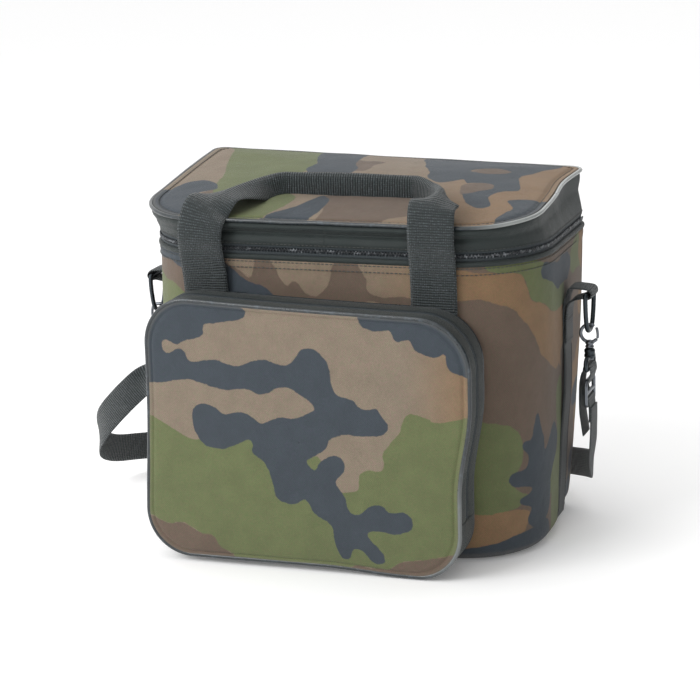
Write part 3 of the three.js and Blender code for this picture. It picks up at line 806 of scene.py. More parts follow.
# ---- outlines ----
def outline(low, high, radii, count):
    """A rectangle with rounded corners, counter-clockwise from the middle of its lower side.
    The radii start at the lower right. Returns the points and the length round them."""
    (x0, y0), (x1, y1) = low, high
    a, b, c, d = radii
    centres = ((x1 - a, y0 + a), (x1 - b, y1 - b), (x0 + c, y1 - c), (x0 + d, y0 + d))
    middle = np.array([[0.0, y0]])
    dense = [middle]
    for k, ((cx, cy), r) in enumerate(zip(centres, radii)):
        start = (k - 1) * math.pi / 2
        angle = np.linspace(start, start + math.pi / 2, 40)
        dense.append(np.stack([cx + r * np.cos(angle), cy + r * np.sin(angle)], -1))
    dense = np.vstack([*dense, middle])
    total = np.linalg.norm(np.diff(dense, axis=0), axis=1).sum()
    return even(dense, count, closed=True), total


def body_plan(count):
    """The body's outline on the floor plan."""
    return outline((-HALF_W, FRONT), (HALF_W, BACK), (FRONT_R, BACK_R, BACK_R, FRONT_R), count)


def outward_normals(path):
    t = tangents(path, closed=True)
    return np.stack([t[:, 1], -t[:, 0]], -1)


def round_again(rows):
    """The same run, ending on its first point."""
    return np.vstack([rows, rows[:1]])


def flat_out(normals):
    """Plan normals as vectors that lie level."""
    return np.column_stack([normals, np.zeros(len(normals))])


def smooth(x):
    x = np.clip(x, 0, 1)
    return x * x * (3 - 2 * x)


def ripple(points, scale, seed=0.0):
    """Smooth noise of about -1 to 1 at each point."""
    return np.array([noise.noise(Vector(p) * scale + Vector((seed, seed * 1.7, -seed))) for p in points])


# ---- body ----
BODY_COUNT = 440
BODY_PATH, BODY_TOTAL = body_plan(BODY_COUNT)
BODY_OUT = outward_normals(BODY_PATH)
BODY_S = np.arange(BODY_COUNT) * BODY_TOTAL / BODY_COUNT
SIGNED_S = np.where(BODY_S > BODY_TOTAL / 2, BODY_S - BODY_TOTAL, BODY_S)
BASE_ROUND = 15 * MM
REAR_RIGHT = smooth((BODY_PATH[:, 1] + 10 * MM) / (80 * MM)) * smooth(BODY_PATH[:, 0] / (60 * MM))


def body_shift(z):
    """How far the wall stands outside the plain outline: it swells at mid height and tapers to the base."""
    height = np.clip(np.asarray(z) / RIM_Z, 0, 1)
    return 1.8 * MM * np.sin(height * math.pi) - 5.0 * MM * (1 - height) ** 1.5


def wall_offset(z):
    """The wall's offset at each height and place round the body; the rear right corner tapers to the base."""
    taper = 9.0 * MM * (1 - np.clip(np.asarray(z) / RIM_Z, 0, 1)) ** 1.1
    return body_shift(z)[:, None] - taper[:, None] * REAR_RIGHT[None]


def body_surface(z, lift=0.0):
    """The outer surface at each height, tucked in at the base."""
    z = np.atleast_1d(z)
    tuck = BASE_ROUND * (1 - np.sqrt(np.clip(1 - (1 - np.clip(z / BASE_ROUND, 0, 1)) ** 2, 0, 1)))
    offset = wall_offset(z) - tuck[:, None] + lift
    points = np.empty((len(z), BODY_COUNT, 3))
    points[..., :2] = BODY_PATH[None] + BODY_OUT[None] * offset[..., None]
    points[..., 2] = z[:, None]
    return points


def body_wrinkles(points):
    """Soft dents and the pull of the seams, along the outward direction."""
    flat = points.reshape(-1, 3)
    broad = ripple(flat * (1, 1, 0.6), 14.0, 3.1) * 1.3 * MM
    fine = ripple(flat * (1, 1, 0.45), 46.0, 7.7) * 0.35 * MM
    z = flat[:, 2]
    along = np.tile(BODY_S, len(points))
    pucker = np.sin(along / (9 * MM) * 2 * math.pi + 2 * ripple(flat, 20.0)) * 0.2 * MM
    near_rim = np.exp(-((RIM_Z - 9 * MM - z) / (6 * MM)) ** 2)
    fade = smooth(z / (25 * MM)) * smooth((RIM_Z - 3 * MM - z) / (20 * MM))
    return ((broad + fine) * fade + pucker * near_rim).reshape(points.shape[:2])


# Blobs for the print on the unseen stretches: seed, count, left, right, height and size.
SIDE_BLOBS = {
    "green": ((11, 5, -420, -190, 240, 18), (12, 3, 262, 330, 240, 16), (21, 4, -120, 70, 165, 16)),
    "tan": ((13, 5, -420, -190, 240, 16), (14, 3, 262, 330, 240, 14), (22, 4, -120, 70, 165, 15)),
    "dark": ((15, 7, -420, -190, 240, 11), (16, 4, 262, 330, 240, 10), (23, 5, -120, 45, 165, 10)),
}
REAR_BLOBS = {
    "green": ((5, 9, 250, 700, 240, 20),),
    "tan": ((6, 9, 250, 700, 240, 18),),
    "dark": ((8, 12, 250, 700, 240, 11),),
}


def make_body():
    """The camouflage wrap and back panel, and everything that is sewn to them."""
    low = 1.0 * MM
    top = RIM_Z - 2.6 * MM
    rise = np.linspace(0, 1, 120)
    z = low + (top - low) * (0.35 * rise**2 + 0.65 * rise)
    points = body_surface(z)
    points[..., :2] += BODY_OUT[None] * body_wrinkles(points)[..., None]
    hem = np.exp(-((z - (RIM_Z - 7 * MM)) / (4.5 * MM)) ** 4) * 0.7 * MM
    points[..., :2] += BODY_OUT[None] * hem[:, None, None]
    rear = BODY_PATH[:, 1] > BACK - BACK_R + 0.2 * MM
    wrap_ids = np.array([i for i in np.argsort(SIGNED_S) if not rear[i]])
    rear_ids = np.flatnonzero(rear)
    rear_ids = np.array([rear_ids[0] - 1, *rear_ids, rear_ids[-1] + 1])
    for name, ids, node, where, layers, blobs in (
        ("body_wrap_cloth", wrap_ids, "body_wrap", SIGNED_S, BODY_PRINT, SIDE_BLOBS),
        ("back_panel_cloth", rear_ids, "back_panel", BODY_S, {"ground": "brown"}, REAR_BLOBS),
    ):
        uv = flat_grid(where[ids][None, :], z[:, None])
        obj = grid_object(name, points[:, ids], "camo", uv, closed=False, thick=FABRIC)
        wear = np.repeat(np.exp(-((z - 4 * MM) / (5 * MM)) ** 2), len(ids))
        flat = uv.reshape(-1, 2) / MM
        warmth = 0.75 * smooth((flat[:, 0] - 20) / 110) + 0.15
        chains = {colour: sum((wandering(*run) for run in runs), []) for colour, runs in blobs.items()}
        paint(obj, flat, layers, warmth, wear, chains)
        declare(obj, "root", "camo_fabric", node)
    make_base()
    make_rim()
    make_inside()


def make_base():
    """Black base panel, standing flat on the floor inside the wrap's lower edge."""
    height = 2.2 * MM
    inside_wrap = 0.988
    flat_shares = np.linspace(0.002, 0.94, 24)
    edge_shares = (0.955, 0.97, 0.98, 0.99, 0.996, 1.0)
    edge = inside_wrap * body_surface(np.array([1.0 * MM]), 0.0)[0][:, :2]
    rows = []
    for share in (*flat_shares, *edge_shares):
        xy = edge * share
        inner = np.clip(np.linalg.norm(edge - xy, axis=1), 0, height)
        rows.append(np.column_stack([xy, height - np.sqrt(height**2 - (height - inner) ** 2)]))
    points = np.array(rows)[::-1]
    base = grid_object("base_panel_cloth", points, "base", flip=True, thick=1.2 * MM)
    declare(base, "root", "black_fabric", "bottom_panel")


def run_on_body(z, lift, reach):
    """A path round the front of the body at one height, with its outward normals."""
    order = [i for i in np.argsort(SIGNED_S) if abs(SIGNED_S[i]) <= reach]
    path = body_surface(np.array([z]), lift)[0][order]
    return path, flat_out(BODY_OUT[order])


def make_rim():
    """Hem stitching, the binding round the mouth and the lower half of the zip."""
    rows = [run_on_body(RIM_Z - drop, 0.85 * MM, 290 * MM) for drop in (5.6 * MM, 10.6 * MM)]
    stitches = stitch_object("hem_stitches", rows)
    declare(stitches, "root", "black_fabric")

    # A folded tape over the mouth's edge: its outer lip shows as a black line under the zip.
    profile = np.array([
        (-1.0, -5.2), (0.9, -4.0), (1.7, -3.0), (1.9, -1.8), (1.7, -0.7), (0.9, 0.1),
        (-0.8, 0.3), (-5.6, 0.3), (-8.4, 0.0), (-9.4, -1.2), (-9.6, -4.5), (-9.0, -6.2),
    ]) * MM
    path = body_surface(np.array([RIM_Z - 4 * MM]))[0][:, :2]
    ring = path[None] + BODY_OUT[None] * profile[:, :1, None]
    height = np.broadcast_to((RIM_Z + profile[:, 1])[:, None, None], (*ring.shape[:2], 1))
    points = np.concatenate([ring, height], -1)
    uv = flat_grid(lengths(profile)[:, None], BODY_S[None])
    binding = grid_object("rim_binding_tape", points, "black", uv)
    declare(binding, "root", "black_fabric", "rim_binding")
    zip_half("main_zip_lower", ZIP_LO[2], ZIP_HI[2], "root", -1)


TOOTH_PITCH = 2.6 * MM


def zip_teeth(name, spots, along, radius, look, body):
    """Moulded teeth lying along one direction. A spot is (centre, outward)."""
    reach = along * 0.95 * MM
    parts = []
    for centre, out in spots:
        path = np.array([centre - reach - out * 0.5 * radius, centre, centre + reach])
        parts.append(tube_data(path, radius, sides=6, up=tuple(out)))
    declare(merged_object(f"{name}_teeth", parts, look), body, "zip_coil", name)


def zip_half(name, low, high, body, side):
    """One half of the lid zip: a woven tape with teeth along the edge that meets the other half."""
    reach = abs(SIGNED_S[np.argmin(np.abs(BODY_PATH[:, 1] - ZIP_HI[1]))])
    path, _ = run_on_body(RIM_Z - 3 * MM, 0.0, reach)
    path = even(path, 700)
    out = unit(np.column_stack([np.gradient(path[:, 1]), -np.gradient(path[:, 0]), np.zeros(len(path))]))
    z_low, z_high = (low - 1.2 * MM, high - 0.4 * MM) if side < 0 else (low + 0.4 * MM, high + 1.6 * MM)
    rows = [
        np.column_stack([(path + out * lift * MM)[:, :2], np.full(len(path), z)])
        for lift, z in ((-0.6, z_low), (-0.2, (z_low + z_high) / 2), (-0.3, z_high))
    ]
    uv = flat_grid(np.array([[0.0], [0.5], [1.0]]) * (z_high - z_low), lengths(path)[None])
    tape = grid_object(f"{name}_tape", np.array(rows), "tape", uv, closed=False, thick=0.8 * MM)
    declare(tape, body, "zip_coil")
    edge = (high + 0.25 * MM) if side < 0 else (low - 0.25 * MM)
    spots = []
    for row in even(np.hstack([path, out]), int(lengths(path)[-1] / TOOTH_PITCH)):
        n = unit(row[3:])
        t = np.array([-n[1], n[0], 0.0])
        centre = row[:3] + n * 0.5 * MM + t * (0.0 if side < 0 else 0.5 * TOOTH_PITCH)
        centre[2] = edge + side * 0.55 * MM
        spots.append((centre, n))
    zip_teeth(name, spots, np.array([0, 0, 1.0]), 0.62 * MM, "coil", body)


def tub_rows(inset, z_top, z_floor, rough):
    """Rings of an open box inside the body: down the wall, round the corner and across the floor."""
    rows = []
    corner = 8 * MM

    def ring(xy, z):
        p = np.column_stack([xy, np.full(len(xy), z)])
        p[:, :2] -= BODY_OUT * (rough * np.abs(ripple(p, 40.0, 2.0)))[:, None]
        rows.append(p)

    levels = np.linspace(z_top, z_floor + corner, 46)
    for z, offset in zip(levels, wall_offset(levels) - inset):
        ring(BODY_PATH + BODY_OUT * offset[:, None], z)
    foot = BODY_PATH + BODY_OUT * (wall_offset(levels[-1:])[0] - inset)[:, None]
    for angle in np.linspace(0.2, math.pi / 2, 6):
        ring(foot - BODY_OUT * corner * (1 - math.cos(angle)), z_floor + corner * (1 - math.sin(angle)))
    for share in np.linspace(0.96, 0.004, 24):
        ring((foot - BODY_OUT * corner) * share, z_floor)
    return np.array(rows)


def make_inside():
    """Foam walls and the silver film lining, which show when the lid is open."""
    low, high = cad("insulation_tub")
    points = tub_rows(3.0 * MM, high[2], low[2] + 0.4 * MM, 0.0)
    foam = grid_object("insulation_foam", points, "foam", flip=True, thick=4.0 * MM)
    declare(foam, "root", "foam", "insulation_tub")
    low, _ = cad("liner_tub")
    points = tub_rows(9.2 * MM, RIM_Z - 0.8 * MM, low[2] + 1.4 * MM, 0.7 * MM)
    uv = points[..., :2] + points[..., 2:]
    liner = grid_object("liner_film", points, "foil", uv, thick=-0.6 * MM)
    declare(liner, "root", "foil_liner", "liner_tub")
    low, high = cad("base_board")
    edge = BODY_PATH + BODY_OUT * (wall_offset(np.array([high[2]]))[0] - 8.0 * MM)[:, None]
    level = np.full(BODY_COUNT, high[2])
    points = np.array([np.column_stack([edge * share, level]) for share in np.linspace(0.002, 1, 16)])
    thick = high[2] - low[2]
    board = grid_object("base_board_plate", points, "board", flip=True, thick=thick)
    declare(board, "root", "base_board", "base_board")


# ---- lid ----
LID_COUNT = 400
LID_EDGE = (LID_HI[0] + 2.5 * MM, LID_LO[1] - 2.5 * MM, LID_HI[1] + 2.5 * MM)
LID_PLAIN, LID_TOTAL = outline((-LID_EDGE[0], LID_EDGE[1]), (LID_EDGE[0], LID_EDGE[2]), LID_RADII, LID_COUNT)
LID_OUT = outward_normals(LID_PLAIN)


def draw_in(path):
    """The lid's right side is drawn in and waves slightly, because the soft wall under it sags."""
    x, y = path[:, 0], path[:, 1]
    pull = 6.5 * MM + 3.5 * MM * np.exp(-((y - 45 * MM) / (34 * MM)) ** 2)
    drawn = path.copy()
    drawn[:, 0] -= pull * smooth((x - 30 * MM) / (125 * MM))
    return drawn


LID_PATH = draw_in(LID_PLAIN)


def lid_height(xy):
    """Height of the lid's edge: it rises to the back, and less so at the right rear corner."""
    x, y = xy[:, 0], xy[:, 1]
    t = np.clip((y - LID_EDGE[1]) / (LID_EDGE[2] - LID_EDGE[1]), 0, 1)
    sag = (6.0 * MM + 4.5 * MM * x / LID_EDGE[0]) * t**1.6
    return PIPE_LO[2] + PIPE_R + LID_RISE * (0.75 * t + 0.25 * smooth(t)) - sag


def puffed(path, crown, rings, droop):
    """The lid's stuffed top inside an outline: concentric rings, highest in the middle."""
    rows = []
    for q in rings:
        xy = path * q
        rows.append(np.column_stack([xy, lid_height(xy) + crown * (1 - q**droop)]))
    return np.array(rows)


def make_lid():
    """The stuffed camouflage top with its stitching and piping, and the parts below it."""
    rings = 1 - (1 - np.linspace(0.0005, 1, 84)) ** 1.15
    inner = LID_PATH - LID_OUT * 1.2 * MM
    points = puffed(inner, 7.0 * MM, rings, 2.6)
    flat = points.reshape(-1, 3)
    q = np.repeat(rings, LID_COUNT)
    dents = ripple(flat, 17.0, 1.3) * 1.3 * MM + ripple(flat, 55.0, 8.0) * 0.35 * MM
    run = np.tile(np.arange(LID_COUNT), len(rings)) * LID_TOTAL / LID_COUNT
    pucker = np.sin(run / (8 * MM) * 2 * math.pi)
    seam = 0.965
    flat[:, 2] += dents * smooth((1 - q) * 9) + pucker * 0.25 * MM * np.exp(-((q - seam) / 0.02) ** 2)
    flat[:, 2] -= 1.3 * MM * np.exp(-((q - seam) / 0.012) ** 2)
    top = grid_object("lid_top_cloth", points, "camo", thick=FABRIC)
    wear = np.exp(-((1 - q) / 0.02) ** 2)
    plain = np.concatenate([LID_PLAIN * ring for ring in rings]) / MM
    paint(top, plain, LID_PRINT, 0.7 * smooth((plain[:, 0] - 20) / 120) + 0.1, wear)
    declare(top, "lid", "camo_fabric", "lid_panel")

    near = LID_PATH * 0.966
    normals = np.tile((0.0, 0.0, 1.0), (LID_COUNT, 1))
    row = np.column_stack([near, lid_height(near) + 1.4 * MM])
    stitches = stitch_object("lid_top_stitches", [(round_again(row), round_again(normals))])
    declare(stitches, "lid", "black_fabric")

    edge = np.column_stack([LID_PATH + LID_OUT * 0.6 * MM, lid_height(LID_PATH)])
    edge[:, 2] += ripple(edge, 30.0, 5.0) * 0.5 * MM
    piping = tube_object("lid_piping_cord", edge, 0.78 * PIPE_R, "piping")
    # Painted highlight: the cord turns light silver towards the lid's right side.
    silver = smooth((np.repeat(LID_PLAIN[:, 0], 14) / MM - 118) / 40)
    set_attribute(piping, "painted_piping_highlight", 0.75 * silver)
    declare(piping, "lid", "piping", "lid_piping")
    make_band()
    make_lid_lining()
    zip_half("main_zip_upper", UZIP_LO[2], UZIP_HI[2], "lid", 1)


STITCHED_ROW = 40


def make_band():
    """Black band under the piping: a rolled upper part, a groove, and a flap down to the zip."""
    low = BAND_LO[2] - 1.2 * MM
    top = lid_height(LID_PATH) - PIPE_R * 0.7
    body_path = body_plan(LID_COUNT)[0] + LID_OUT * body_shift(low)
    ahead = smooth((-20 * MM - LID_PATH[:, 1]) / (70 * MM))
    front = ahead * smooth((150 * MM - np.abs(LID_PATH[:, 0])) / (50 * MM))
    rows = []
    for share in np.linspace(0, 1, 44):
        roll = 1.5 * math.sin(math.pi * min(share / 0.30, 1.0)) if share < 0.30 else 0.0
        groove = -3.4 * math.exp(-((share - 0.45) / 0.115) ** 2)
        flap = 1.1 * math.exp(-((share - 0.82) / 0.16) ** 2)
        shift = (roll + groove + flap) * (0.25 + 0.75 * front) - 0.3
        blend = float(smooth((share - 0.15) / 0.85))
        xy = LID_PATH * (1 - blend) + body_path * blend + LID_OUT * (shift * MM)[:, None]
        p = np.column_stack([xy, top + (low - top) * share])
        sag = ripple(p * (1, 1, 0.5), 30.0, 6.0) * 1.0 * MM * math.sin(math.pi * share)
        p[:, :2] += LID_OUT * sag[:, None]
        rows.append(p)
    points = np.array(rows)
    drop = np.linspace(0, 1, len(points))[:, None] * (top - low)[None]
    run = np.arange(LID_COUNT) * LID_TOTAL / LID_COUNT
    uv = np.stack([np.broadcast_to(run[None], drop.shape), drop], -1)
    band = grid_object("lid_band_cloth", points, "black", uv, flip=True, thick=1.2 * MM)
    declare(band, "lid", "black_fabric", "lid_band")
    normals = flat_out(LID_OUT)
    path = points[STITCHED_ROW] + normals * 0.3 * MM
    row = (round_again(path), round_again(normals))
    stitches = stitch_object("lid_band_stitches", [row], radius=0.3 * MM)
    declare(stitches, "lid", "black_fabric")
    make_hinge()


def make_hinge():
    """Fabric hinge across the back, sewn to the lid band above and the body below."""
    low, high = cad("lid_hinge_strip")
    x = np.linspace(low[0], high[0], 90)
    z = np.linspace(low[2] - 7 * MM, high[2] - 8 * MM, 26)
    grid = np.empty((len(z), len(x), 3))
    grid[..., 0] = x[None]
    tuck = 1.4 * MM * smooth((high[2] - z) / (34 * MM))
    grid[..., 1] = high[1] + 0.4 * MM * np.sin(x / (14 * MM))[None] - tuck[:, None]
    grid[..., 2] = z[:, None]
    uv = flat_grid(x[None], z[:, None])
    strip = grid_object("lid_hinge_cloth", grid, "black", uv, closed=False, flip=True, thick=1.2 * MM)
    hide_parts("lid_hinge_strip")
    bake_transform(strip)


def make_lid_lining():
    """Foam under the lid's cloth, and the film quilted to it; both follow the lid's sag."""
    low, high = cad("lid_liner")
    more = 1 * MM
    corners = [r - 4 * MM for r in LID_RADII]
    path, _ = outline((-high[0] - more, low[1] - more), (high[0] + more, high[1] + more), corners, 240)
    path = draw_in(path)
    drop = PIPE_LO[2] + PIPE_R - low[2]
    square = 60 * MM / math.pi
    film_rows = []
    foam_rows = []
    for q in np.linspace(0.001, 1, 50):
        xy = path * q
        top = lid_height(xy)
        quilt = 1.2 * MM * np.abs(np.sin(xy[:, 0] / square) * np.sin(xy[:, 1] / square))
        film_rows.append(np.column_stack([xy, top - drop - quilt * (1 - q**6)]))
        foam_rows.append(np.column_stack([xy, top - 3.0 * MM]))
    for name, rows, node, look, thick in (
        ("lid_lining_film", film_rows, "lid_liner", "foil", 0.6 * MM),
        ("lid_foam_sheet", foam_rows, "lid_foam", "foam", drop - 3.5 * MM),
    ):
        points = np.array(rows)
        sheet = grid_object(name, points, look, flip=True, thick=thick)
        declare(sheet, "lid", "foil_liner" if look == "foil" else "foam", node)


# ---- pocket ----
POCKET_X = (PPIPE_LO[0] + PPIPE_HI[0]) / 2
POCKET_HALF = (PPIPE_HI[0] - PPIPE_LO[0]) / 2 - 2.2 * MM
POCKET_Z = (PPIPE_LO[2] + 2.2 * MM, PPIPE_HI[2] - 2.2 * MM)
POCKET_FRONT = PPIPE_LO[1]
POCKET_COUNT = 340


def pocket_outline(inset=0.0, warped=True):
    """The pocket in the front view, counter-clockwise from the middle of its lower edge."""
    half = POCKET_HALF - inset
    radii = [radius * MM - inset for radius in (36, 42, 37, 38)]
    path, _ = outline((-half, POCKET_Z[0] + inset), (half, POCKET_Z[1] - inset), radii, POCKET_COUNT)
    return sag_pocket(path) if warped else path


def sag_pocket(path):
    """A worn pocket isn't square: higher at the upper left, pinched at the lower right."""
    up = np.clip((path[:, 1] - POCKET_Z[0]) / (POCKET_Z[1] - POCKET_Z[0]), 0, 1)
    across = path[:, 0] / POCKET_HALF
    left = smooth(-across / 0.8)
    right = smooth(across / 0.8)
    sagged = path.copy()
    sagged[:, 0] += 5.5 * MM * left * smooth(up / 0.7)
    sagged[:, 0] += right * (3.0 * MM - 9.5 * MM * smooth((0.68 - up) / 0.36))
    sagged[:, 1] += up**1.5 * (2.5 - 4.2 * across + 1.5 * across**2) * MM
    sagged[:, 1] -= (1 - up) * 3.5 * MM * smooth((across - 0.1) / 0.6)
    return sagged


def in_front(path2, y):
    return np.column_stack([path2[:, 0] + POCKET_X, np.full(len(path2), y), path2[:, 1]])


def make_pocket():
    """The pocket's padded front with its piping, and the wall behind it."""
    centre_z = (POCKET_Z[0] + POCKET_Z[1]) / 2
    edge = pocket_outline(1.0 * MM)
    local = edge - (0, centre_z)
    rings = 1 - (1 - np.linspace(0.0005, 1, 96)) ** 1.15
    rows = []
    for q in rings:
        xz = local * q + (0, centre_z)
        crown = 5.5 * MM * (1 - q**3.0)
        rows.append(in_front(xz, 0) - np.array([0, 1, 0]) * (crown - (POCKET_FRONT + 2.2 * MM)))
    points = np.array(rows)
    flat = points.reshape(-1, 3)
    q = np.repeat(rings, POCKET_COUNT)
    dents = ripple(flat, 15.0, 12.0) * 0.9 * MM + ripple(flat * (1, 1, 0.6), 50.0, 2.4) * 0.25 * MM
    step = np.tile(np.arange(POCKET_COUNT), len(rings)) * (2 * math.pi) * 90 / POCKET_COUNT
    flat[:, 1] += dents * smooth((1 - q) * 8)
    flat[:, 1] += 0.18 * MM * np.sin(step) * np.exp(-((q - 0.955) / 0.02) ** 2)
    flat[:, 1] += 0.9 * MM * np.exp(-((q - 0.972) / 0.010) ** 2)
    uv = np.stack([points[..., 0] - POCKET_X, points[..., 2]], -1)
    panel = grid_object("pocket_front_cloth", points, "camo", uv, thick=FABRIC)
    plain = pocket_outline(1.0 * MM, warped=False) - (0, centre_z)
    corner = (POCKET_HALF, centre_z - POCKET_Z[0])
    print_mm = np.concatenate([plain * ring + corner for ring in rings]) / MM
    warmth = 0.7 * smooth((print_mm[:, 0] - 215) / 60)
    layers = {**POCKET_PRINT, "green holes": POCKET_PRINT["brown"]}
    paint(panel, print_mm, layers, warmth, np.exp(-((1 - q) / 0.018) ** 2))
    declare(panel, "pocket_flap", "camo_fabric", "pocket_panel")

    rim = pocket_outline(0.0)
    cord = in_front(rim, POCKET_FRONT + 2.0 * MM)
    cord[:, 1] += ripple(cord, 22.0, 3.0) * 0.5 * MM
    piping = tube_object("pocket_piping_cord", cord, 1.75 * MM, "piping", up=(0, -1, 0))
    across, up = np.repeat(rim, 14, axis=0).T / MM
    # Painted highlight along the cord's lower right.
    painted_piping_highlight = smooth((across - 90) / 40) * smooth((110 - up) / 60)
    set_attribute(piping, "painted_piping_highlight", 0.3 * painted_piping_highlight)
    declare(piping, "pocket_flap", "piping", "pocket_piping")
    back_rim = in_front(pocket_outline(0.4 * MM), GUSSET_HI[1] + 1.0 * MM)
    rear_cord = tube_object("pocket_rear_piping", back_rim, 1.6 * MM, "piping", sides=10, up=(0, -1, 0))
    declare(rear_cord, "root", "piping")
    make_gusset()


def gusset_wall(name, y0, y1, ids):
    """A black wall round the pocket between two depths, along the given points of its outline."""
    path = pocket_outline(0.6 * MM)
    out = outward_normals(path)
    depth = np.linspace(y0, y1, 16)
    rows = []
    for y in depth:
        middle = math.sin(math.pi * (y - y0) / (y1 - y0))
        p = in_front(path, y)
        lift = 0.8 * MM * middle
        wave = ripple(p * (1, 0.4, 1), 42.0, 9.0) * 0.6 * MM * middle
        p[:, [0, 2]] += out * (lift + wave)[:, None]
        rows.append(p)
    points = np.array(rows)[:, ids]
    total = lengths(in_front(path, 0), True)
    uv = flat_grid(total[ids][None], depth[:, None])
    return grid_object(name, points, "black", uv, closed=False, thick=1.3 * MM)


def above(path, level):
    """The run over a level."""
    return np.flatnonzero(path[:, 1] > level)


def below(path, level):
    """The run under a level, in order round the lower edge."""
    order = np.argsort((np.arange(len(path)) + len(path) // 2) % len(path))
    return np.array([i for i in order if path[i, 1] <= level])


def make_gusset():
    """The pocket's black wall: behind the zip, in front of it, and the pleat under its two ends."""
    split_lo, split_hi = cad("pocket_zip_front")[0][1], cad("pocket_zip_rear")[1][1]
    zip_end = cad("pocket_zip_rear")[0][2]
    back_y = GUSSET_HI[1]
    front_y = POCKET_FRONT + 3.0 * MM
    rear_cut = split_hi + 0.4 * MM
    front_cut = split_lo - 0.4 * MM
    wall_path = pocket_outline(0.6 * MM)
    high = above(wall_path, zip_end)
    low = below(wall_path, zip_end + 1 * MM)
    rear_wall = gusset_wall("pocket_gusset_rear_cloth", rear_cut, back_y, high)
    declare(rear_wall, "root", "black_fabric", "pocket_gusset")
    low_wall = gusset_wall("pocket_gusset_low_cloth", front_y, back_y, low)
    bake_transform(low_wall)
    front_wall = gusset_wall("pocket_gusset_front_cloth", front_y, front_cut, high)
    declare(front_wall, "pocket_flap", "black_fabric", "pocket_gusset_front")
    middle = (split_lo + split_hi) / 2
    pocket_zip_half("pocket_zip_rear", "root", middle, 1, zip_end)
    pocket_zip_half("pocket_zip_front", "pocket_flap", middle, -1, zip_end)


def pocket_zip_half(name, body, middle, side, zip_end):
    """Tape and teeth on one side of the pocket zip's middle line."""
    path = pocket_outline(0.0)
    ids = above(path, zip_end)
    run = in_front(path[ids], 0)
    out = outward_normals(path)[ids]
    rows = []
    for reach, lift in ((0.5, 0.5), (1.8, 0.7), (3.4, 0.3)):
        p = in_front(path[ids], middle + side * reach * MM)
        p[:, [0, 2]] += out * lift * MM
        rows.append(p)
    uv = flat_grid(np.array([0, 1.5, 3.0])[:, None] * MM, lengths(run)[None])
    points = np.array(rows)
    tape = grid_object(f"{name}_tape", points, "tape", uv, closed=False, flip=side < 0, thick=0.7 * MM)
    declare(tape, body, "zip_coil")
    spots = []
    for row in even(np.hstack([run, out]), int(lengths(run)[-1] / TOOTH_PITCH)):
        n = unit(np.array([row[3], 0, row[4]]))
        t = np.cross(n, (0, 1, 0))
        seat = np.array([row[0], middle + side * 0.35 * MM, row[2]])
        spots.append((seat + n * 1.0 * MM + t * side * 0.25 * TOOTH_PITCH, n))
    zip_teeth(name, spots, np.array([0, 1.0, 0]), 0.6 * MM, "tape", body)


# ---- webbing ----
def band_section(width, thick, fold):
    """Across a web band: points on its outer face, then on its inner face.
    fold goes from 0, flat, to 1, folded double."""
    w = np.linspace(-0.5, 0.5, 17) * width
    angle = fold * math.pi / 2
    gap = fold * 2.6 * MM
    side = np.sign(w) * np.minimum(np.abs(w) / (3 * MM), 1.0)
    across = w * math.cos(angle) + side * gap
    down = np.abs(w) * math.sin(angle)
    normal = unit(np.stack([np.gradient(down), np.gradient(across)], -1))
    edge = np.clip(1 - (np.abs(w) / (width / 2)) ** 10, 0.25, 1)
    middle = np.stack([across, -down], -1)
    shell = normal * (thick / 2 * edge)[:, None]
    return np.vstack([middle + shell, (middle - shell)[::-1]]), np.concatenate([w, w[::-1]])


def web_band(name, path, outward, width, thick, fold=None):
    """A strip of webbing along a path. outward is where its outer face looks at each point."""
    t = tangents(path)
    a = unit(outward - (outward * t).sum(1, keepdims=True) * t)
    b = np.cross(t, a)
    s = lengths(path)
    folds = np.zeros(len(path)) if fold is None else fold
    rows, uvs = [], []
    for i in range(len(path)):
        section, w = band_section(width, thick, float(folds[i]))
        rows.append(path[i] + section[:, :1] * b[i] + section[:, 1:] * a[i])
        uvs.append(np.column_stack([w, np.full(len(w), s[i])]))
    points = np.array(rows)
    n = points.shape[1]
    faces = grid_faces(len(path), n, False, True)
    last = (len(path) - 1) * n
    for k in range(n // 2 - 1):
        faces.append((k, n - 1 - k, n - 2 - k, k + 1))
        faces.append((last + k, last + k + 1, last + n - 2 - k, last + n - 1 - k))
    return mesh_object(name, points.reshape(-1, 3), faces, "webbing", np.array(uvs).reshape(-1, 2))


def turned_web(name, path, facing, width, thick):
    """Webbing that turns about one level direction."""
    return web_band(name, path, np.cross(tangents(path), np.array(facing)[None]), width, thick)


LEG_LO, LEG_HI = cad("front_leg_left")
LEFT_LEG = (LEG_LO[0] + LEG_HI[0]) / 2
RIGHT_LEG = (cad("front_leg_right")[0][0] + cad("front_leg_right")[1][0]) / 2
WEB_WIDTH, WEB_THICK = LEG_HI[0] - LEG_LO[0], 2.2 * MM


def handle_route(rise_left, rise_right, top, count):
    """From the foot of one leg to the foot of the other. A place is how far in from the leg's centre,
    y, z, and how far the webbing is folded double."""
    left = [(LEFT_LEG + d, y, z, f) for d, y, z, f in rise_left]
    right = [(RIGHT_LEG - d, y, z, f) for d, y, z, f in reversed(rise_right)]
    dense = spline(np.array(left + top + right), count)
    return dense[:, :3], np.clip(dense[:, 3], 0, 1)


